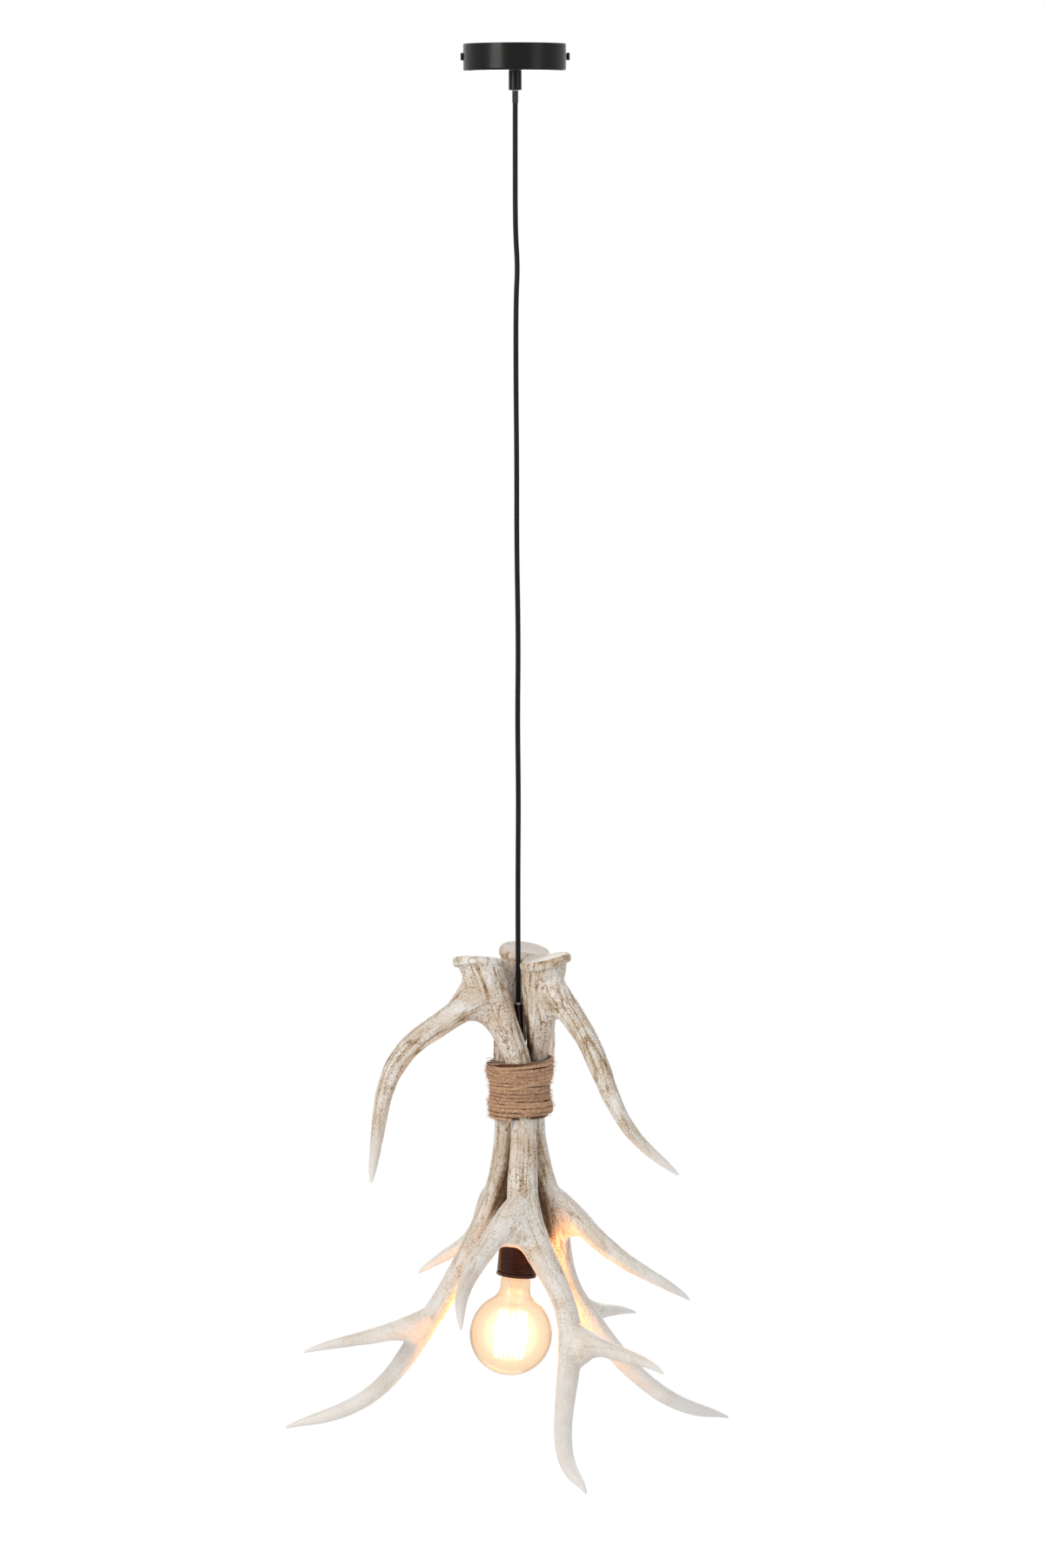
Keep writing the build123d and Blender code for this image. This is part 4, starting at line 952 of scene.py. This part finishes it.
# %% [markdown]
# ## Loose fibres of the jute
# Jute sheds. Short hairs stand off the twine and curl, and longer fibres that came loose lie round the
# turns. Each is one thin curve, started at a random place. The random numbers have a fixed seed, so
# that every run gives the same hairs.

# %% Hairs and stray fibres
HAIRS, STRAYS = ((2600, 340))
HAIR_R, HAIR_ROOT, STRAY_R, STRAY_STEP = 0.08, 1.3, 0.26, 1.6
# Where the loose end frays, and into how many hairs.
FRAYED_AT, FRAYED_STEP, FRAYED = (-31.2, -5.0, -14.0), 0.3, 14


def fibre(root, outwards, ahead, length):
    """A single hair of jute that leaves the twine and curls."""
    lean = random.uniform(0.2, 0.9)
    curl = Vector([random.uniform(-1, 1) for _ in range(3)]) * 0.5
    way = (outwards * lean + ahead * random.uniform(-1, 1) + curl * 0.5).normalized()
    points = [root]
    for _ in range(3):
        points.append(points[-1] + way * length / 3)
        way = (way + curl).normalized()
    return points


def hair():
    """A hair somewhere on the rope."""
    k = random.randrange(2, len(rope) - 2)
    outwards = Vector((rope[k].x, rope[k].y, random.uniform(-9, 9))).normalized()
    ahead = (rope[k + 1] - rope[k - 1]).normalized()
    return fibre(rope[k] + outwards * HAIR_ROOT, outwards, ahead, random.uniform(1.5, 4.5))


def stray():
    """A longer fibre that lies loosely round the turns."""
    angle, height = random.uniform(0, 2 * math.pi), random.uniform(-24, 25)
    slope, lift = random.uniform(-0.16, 0.16), random.uniform(0.7, 2.0)
    points = []
    for i in range(random.randrange(14, 40)):
        level = height + slope * STRAY_STEP * i
        radius = winding_radius(level) + lift + 0.35 * noise.noise(Vector((i / 4, lift * 9, height)))
        points.append(round_lamp(radius, angle + STRAY_STEP / WAIST_R * i, level))
    return points


hairs = [hair() for _ in range(HAIRS)]
strays = [stray() for _ in range(STRAYS)]
for k in range(FRAYED):
    root = Vector(FRAYED_AT) + Vector((0, 0, FRAYED_STEP * k - BIND_DROP))
    hairs.append(fibre(root, Vector((-0.5, -0.1, 0.9)), Vector((0, 0, 1)), random.uniform(3, 6)))
fuzz = strand_curve("jute_fuzz", hairs, HAIR_R, LAMP, sides=0)
fibres = strand_curve("jute_stray_fibres", strays, STRAY_R, LAMP, sides=0, uneven=0.6)
for piece in (twine, crossing, fibres):
    to_mesh(piece)
print("hairs:", len(hairs), "stray fibres:", len(strays))

# %% [markdown]
# ## The layers under the winding
# Under the outer turns the jute is packed round and between the beams. This mass only shows
# through the gaps and at the two ends. It is a copy of the measured one, with low ridges round it
# where the inner turns lie.

# %% Under-layers
UNDER_VOXEL = 1.2
under = copy_of("twine_core", "jute_under_layers")
even_skin(under, UNDER_VOXEL, 2)
spots = seen_from(LAMP, read_points(under.data)[0])
ridge = 0.35 * np.cos(2 * np.pi * (spots[:, 2] / PITCH + 0.5)) + 0.3 * cloudy(spots / 2.2, 3) - 0.5
push_out(under.data, ridge)
shade_smooth(under.data)
print("under-layer faces:", len(under.data.polygons))

# %% [markdown]
# ## The jute's finish
# Raw jute is a dull warm brown with paler strands. The gaps between the turns get a painted shade. How
# deep a point lies is worked out here and kept with the mesh, which gives a softer and surer shade
# than light alone does in gaps this small.

# %% Jute
# How far above the winding the crest lies, and how far below it the painted shade of the gaps grows to full
# darkness, in mm.
CREST_OVER, GAP_SHADE_DEPTH = 1.9, 2.6

for piece in (twine, crossing, fibres, under):
    spots = seen_from(LAMP, read_points(piece.data)[0])
    crest = np.array([winding_radius(z + BIND_DROP) for z in spots[:, 2]]) + CREST_OVER
    radius = np.hypot(spots[:, 0], spots[:, 1])
    write_values(piece.data, {"sunk": fade(radius, crest, crest - GAP_SHADE_DEPTH)})

jute, tree, shader = new_material("three-ply jute twine")
# Bast fibre: warm brown, dull, each ply darkened with painted shade by the gap beside it, with paler stray
# fibres.
set_shader(shader, Roughness=0.88, Sheen_Weight=0.25, Sheen_Roughness=0.45, Specular_IOR_Level=0.25)
place = grain_bump(tree, shader, 0.5, 0.3, 0.7)
streak = add(tree, "TexNoise", {"Vector": (place, "Object"), "Scale": 1 / (2.2 * MM), "Detail": 5.0,
                                "Roughness": 0.75})
warm = add(tree, "ValToRGB", {"Fac": (streak, "Fac")}, [
    (0.3, colour("#957050")), (0.5, colour("#cba17f")), (0.7, colour("#efd2b4"))])
sunk = add(tree, "Attribute", attribute_name="sunk")
# Painted shade: the deeper a point lies between the turns, the darker its colour.
shaded = add(tree, "ValToRGB", {"Fac": (sunk, "Fac")}, [(0.3, colour("#ffffff")), (1.0, colour("#826d5a"))])
gap_shaded_colour = add(tree, "Mix", {"Factor": 1.0, "A": (warm, "Color"), "B": (shaded, "Color")},
            data_type="RGBA", blend_type="MULTIPLY")
tree.links.new(gap_shaded_colour.outputs["Result"], shader.inputs["Base Color"])
for piece in (twine, crossing, fibres, fuzz, under):
    piece.data.materials.append(jute)
    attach(piece, "lamp")
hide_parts("twine_winding")
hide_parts("twine_core")
print("jute pieces:", [piece.name for piece in (twine, crossing, fibres, fuzz, under)])

# %% [markdown]
# ## The bulb's glass
# A thin clear globe with a faint amber coat. Thin glass hardly bends light, so it is drawn as a
# sheet that lets light straight through, a little tinted, and mirrors more of the room towards its
# edge. That keeps the light of the filaments free to reach the antlers. A faint glow in the coat,
# strongest in the middle of the globe, stands for the glare round the lit filaments.

# %% Glass
GLOBE_MIDDLE = -112.7
# The glow fades between these distances from the globe's middle, so the neck stays clear.
GLOW_FULL, GLOW_GONE = 40, 47


def thin_glass(name, middle, edge, halo, globe=(0, 0, 0)):
    """Thin glass: a see-through tint, a mirror that grows towards the edge, and a faint painted glare in its
    coat.
    """
    material, tree, shader = new_material(name)
    tree.nodes.remove(shader)
    facing = add(tree, "LayerWeight", {"Blend": 0.5})
    tint = add(tree, "ValToRGB", {"Fac": (facing, "Facing")}, [
        (0.0, colour(middle)), (0.6, colour(middle)), (1.0, colour(edge))])
    clear = add(tree, "BsdfTransparent", {"Color": (tint, "Color")})
    mirror = add(tree, "BsdfGlossy", {"Color": (1, 1, 1, 1), "Roughness": 0.05})
    steep = add(tree, "Math", {0: (facing, "Facing"), 1: 4.0}, operation="POWER")
    grown = add(tree, "MapRange", {"Value": (steep, "Value"), "To Min": 0.04, "To Max": 0.6})
    # Only the outer side mirrors.
    side = add(tree, "NewGeometry")
    outer = add(tree, "Math", {0: 1.0, 1: (side, "Backfacing")}, operation="SUBTRACT")
    share = add(tree, "Math", {0: (grown, "Result"), 1: (outer, "Value")}, operation="MULTIPLY")
    mix = add(tree, "MixShader", {0: (share, "Value"), 1: (clear, "BSDF"), 2: (mirror, "BSDF")})
    # Painted glare: the glass gives out a warm light, strongest in the middle of the globe, for the glare
    # round the lit filaments.
    glare = add(tree, "ValToRGB", {"Fac": (facing, "Facing")}, [
        (0.0, halo), (0.13, halo * 0.75), (0.29, halo * 0.25), (0.5, halo * 0.06), (1.0, 0.0)])
    place = add(tree, "TexCoord")
    away = add(tree, "VectorMath", {0: (place, "Object"), 1: globe}, operation="DISTANCE")
    near = add(tree, "MapRange", {"Value": (away, "Value"), "From Min": GLOW_FULL * MM,
                                  "From Max": GLOW_GONE * MM, "To Min": 1.0, "To Max": 0.08})
    warm = add(tree, "Math", {0: (glare, "Color"), 1: (near, "Result")}, operation="MULTIPLY")
    painted_glare = add(tree, "Emission", {"Color": colour("#ffdfc2"), "Strength": (warm, "Value")})
    total = add(tree, "AddShader", {0: (mix, "Shader"), 1: (painted_glare, "Emission")})
    tree.links.new(total.outputs[0], tree.nodes["Material Output"].inputs["Surface"])
    return material


globe_place = HOLDER @ (Vector((0, 0, GLOBE_MIDDLE)) * MM)
# Soda-lime glass with an amber lacquer: light crosses it four times, so each crossing tints a little.
amber_glass = thin_glass("amber soda-lime glass", "#fcf3e7", "#ebd8c2", 0.26, tuple(globe_place))
stem_glass = thin_glass("clear soda-lime glass", "#fffbf6", "#e6dccf", 0.02)
paint(amber_glass, "bulb_glass")
paint(stem_glass, "bulb_stem")
print("glass on", "bulb_glass", "bulb_stem")

# %% [markdown]
# ## The glowing filaments
# The measured cage is plain. The real one is a squirrel cage: a long filament that zigzags up and down
# between two rings of little hooks round the glass stem. Here one curve object holds two zigzags, one
# inside the other, and its material gives out light. The warm colour burns out to white in the
# picture, as it does in the photograph.

# %% Filament cage
CAGE_TOP, CAGE_FOOT, CAGE_BELLY = GLOBE_MIDDLE + 22.0, GLOBE_MIDDLE - 23.0, 0.12
# Radius, number of strokes up and down, and start in strokes of the two zigzags.
ZIGZAGS = ((13.5, 16, 0.0), (8.5, 10, 0.5))
FILAMENT_R, LIGHT_W, LIGHT_R = 0.8, 2.4, 14


def zigzag(radius, strokes, shift):
    """One filament that runs up and down between two rings."""
    line = []
    for i in range(2 * strokes):
        angle = math.pi * (i + shift) / strokes
        high, low = (CAGE_TOP, CAGE_FOOT) if i % 2 == 0 else (CAGE_FOOT, CAGE_TOP)
        for share in (0.0, 0.25, 0.5, 0.75):
            belly = radius * (1 + CAGE_BELLY * math.sin(math.pi * share))
            turn = angle + math.pi * share / strokes
            height = high + (low - high) * share
            line.append(Vector((belly * math.cos(turn), belly * math.sin(turn), height)))
    return line + [line[0]]


filament = strand_curve("glowing_filament", [zigzag(*way) for way in ZIGZAGS], FILAMENT_R, HOLDER)
carbon, tree, shader = new_material("glowing carbon filament")
# Carbon that glows: far brighter than white, in a warm colour.
set_shader(shader, Base_Color=colour("#2a1a10"), Roughness=0.6, Emission_Color=colour("#ffb765"),
           Emission_Strength=14.0)
filament.data.materials.append(carbon)
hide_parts("bulb_filaments")
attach(filament, "bulb")

glow = bpy.data.lights.new("filament light", "POINT")
glow.energy = LIGHT_W
glow.color = colour("#ffb45c")[:3]
glow.shadow_soft_size = LIGHT_R * MM
glow_lamp = new_object("filament light", glow)
glow_lamp.location = globe_place
glow_lamp.visible_camera = False
glow_lamp.visible_glossy = False
glow_lamp.visible_transmission = False
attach(glow_lamp, "bulb")
print("filament light, W:", glow.energy)

# %% [markdown]
# ## Finish
# The picture is shown with the plain Standard view.

# %% View and finish
bpy.context.scene.view_settings.view_transform = "Standard"
bpy.context.view_layer.update()
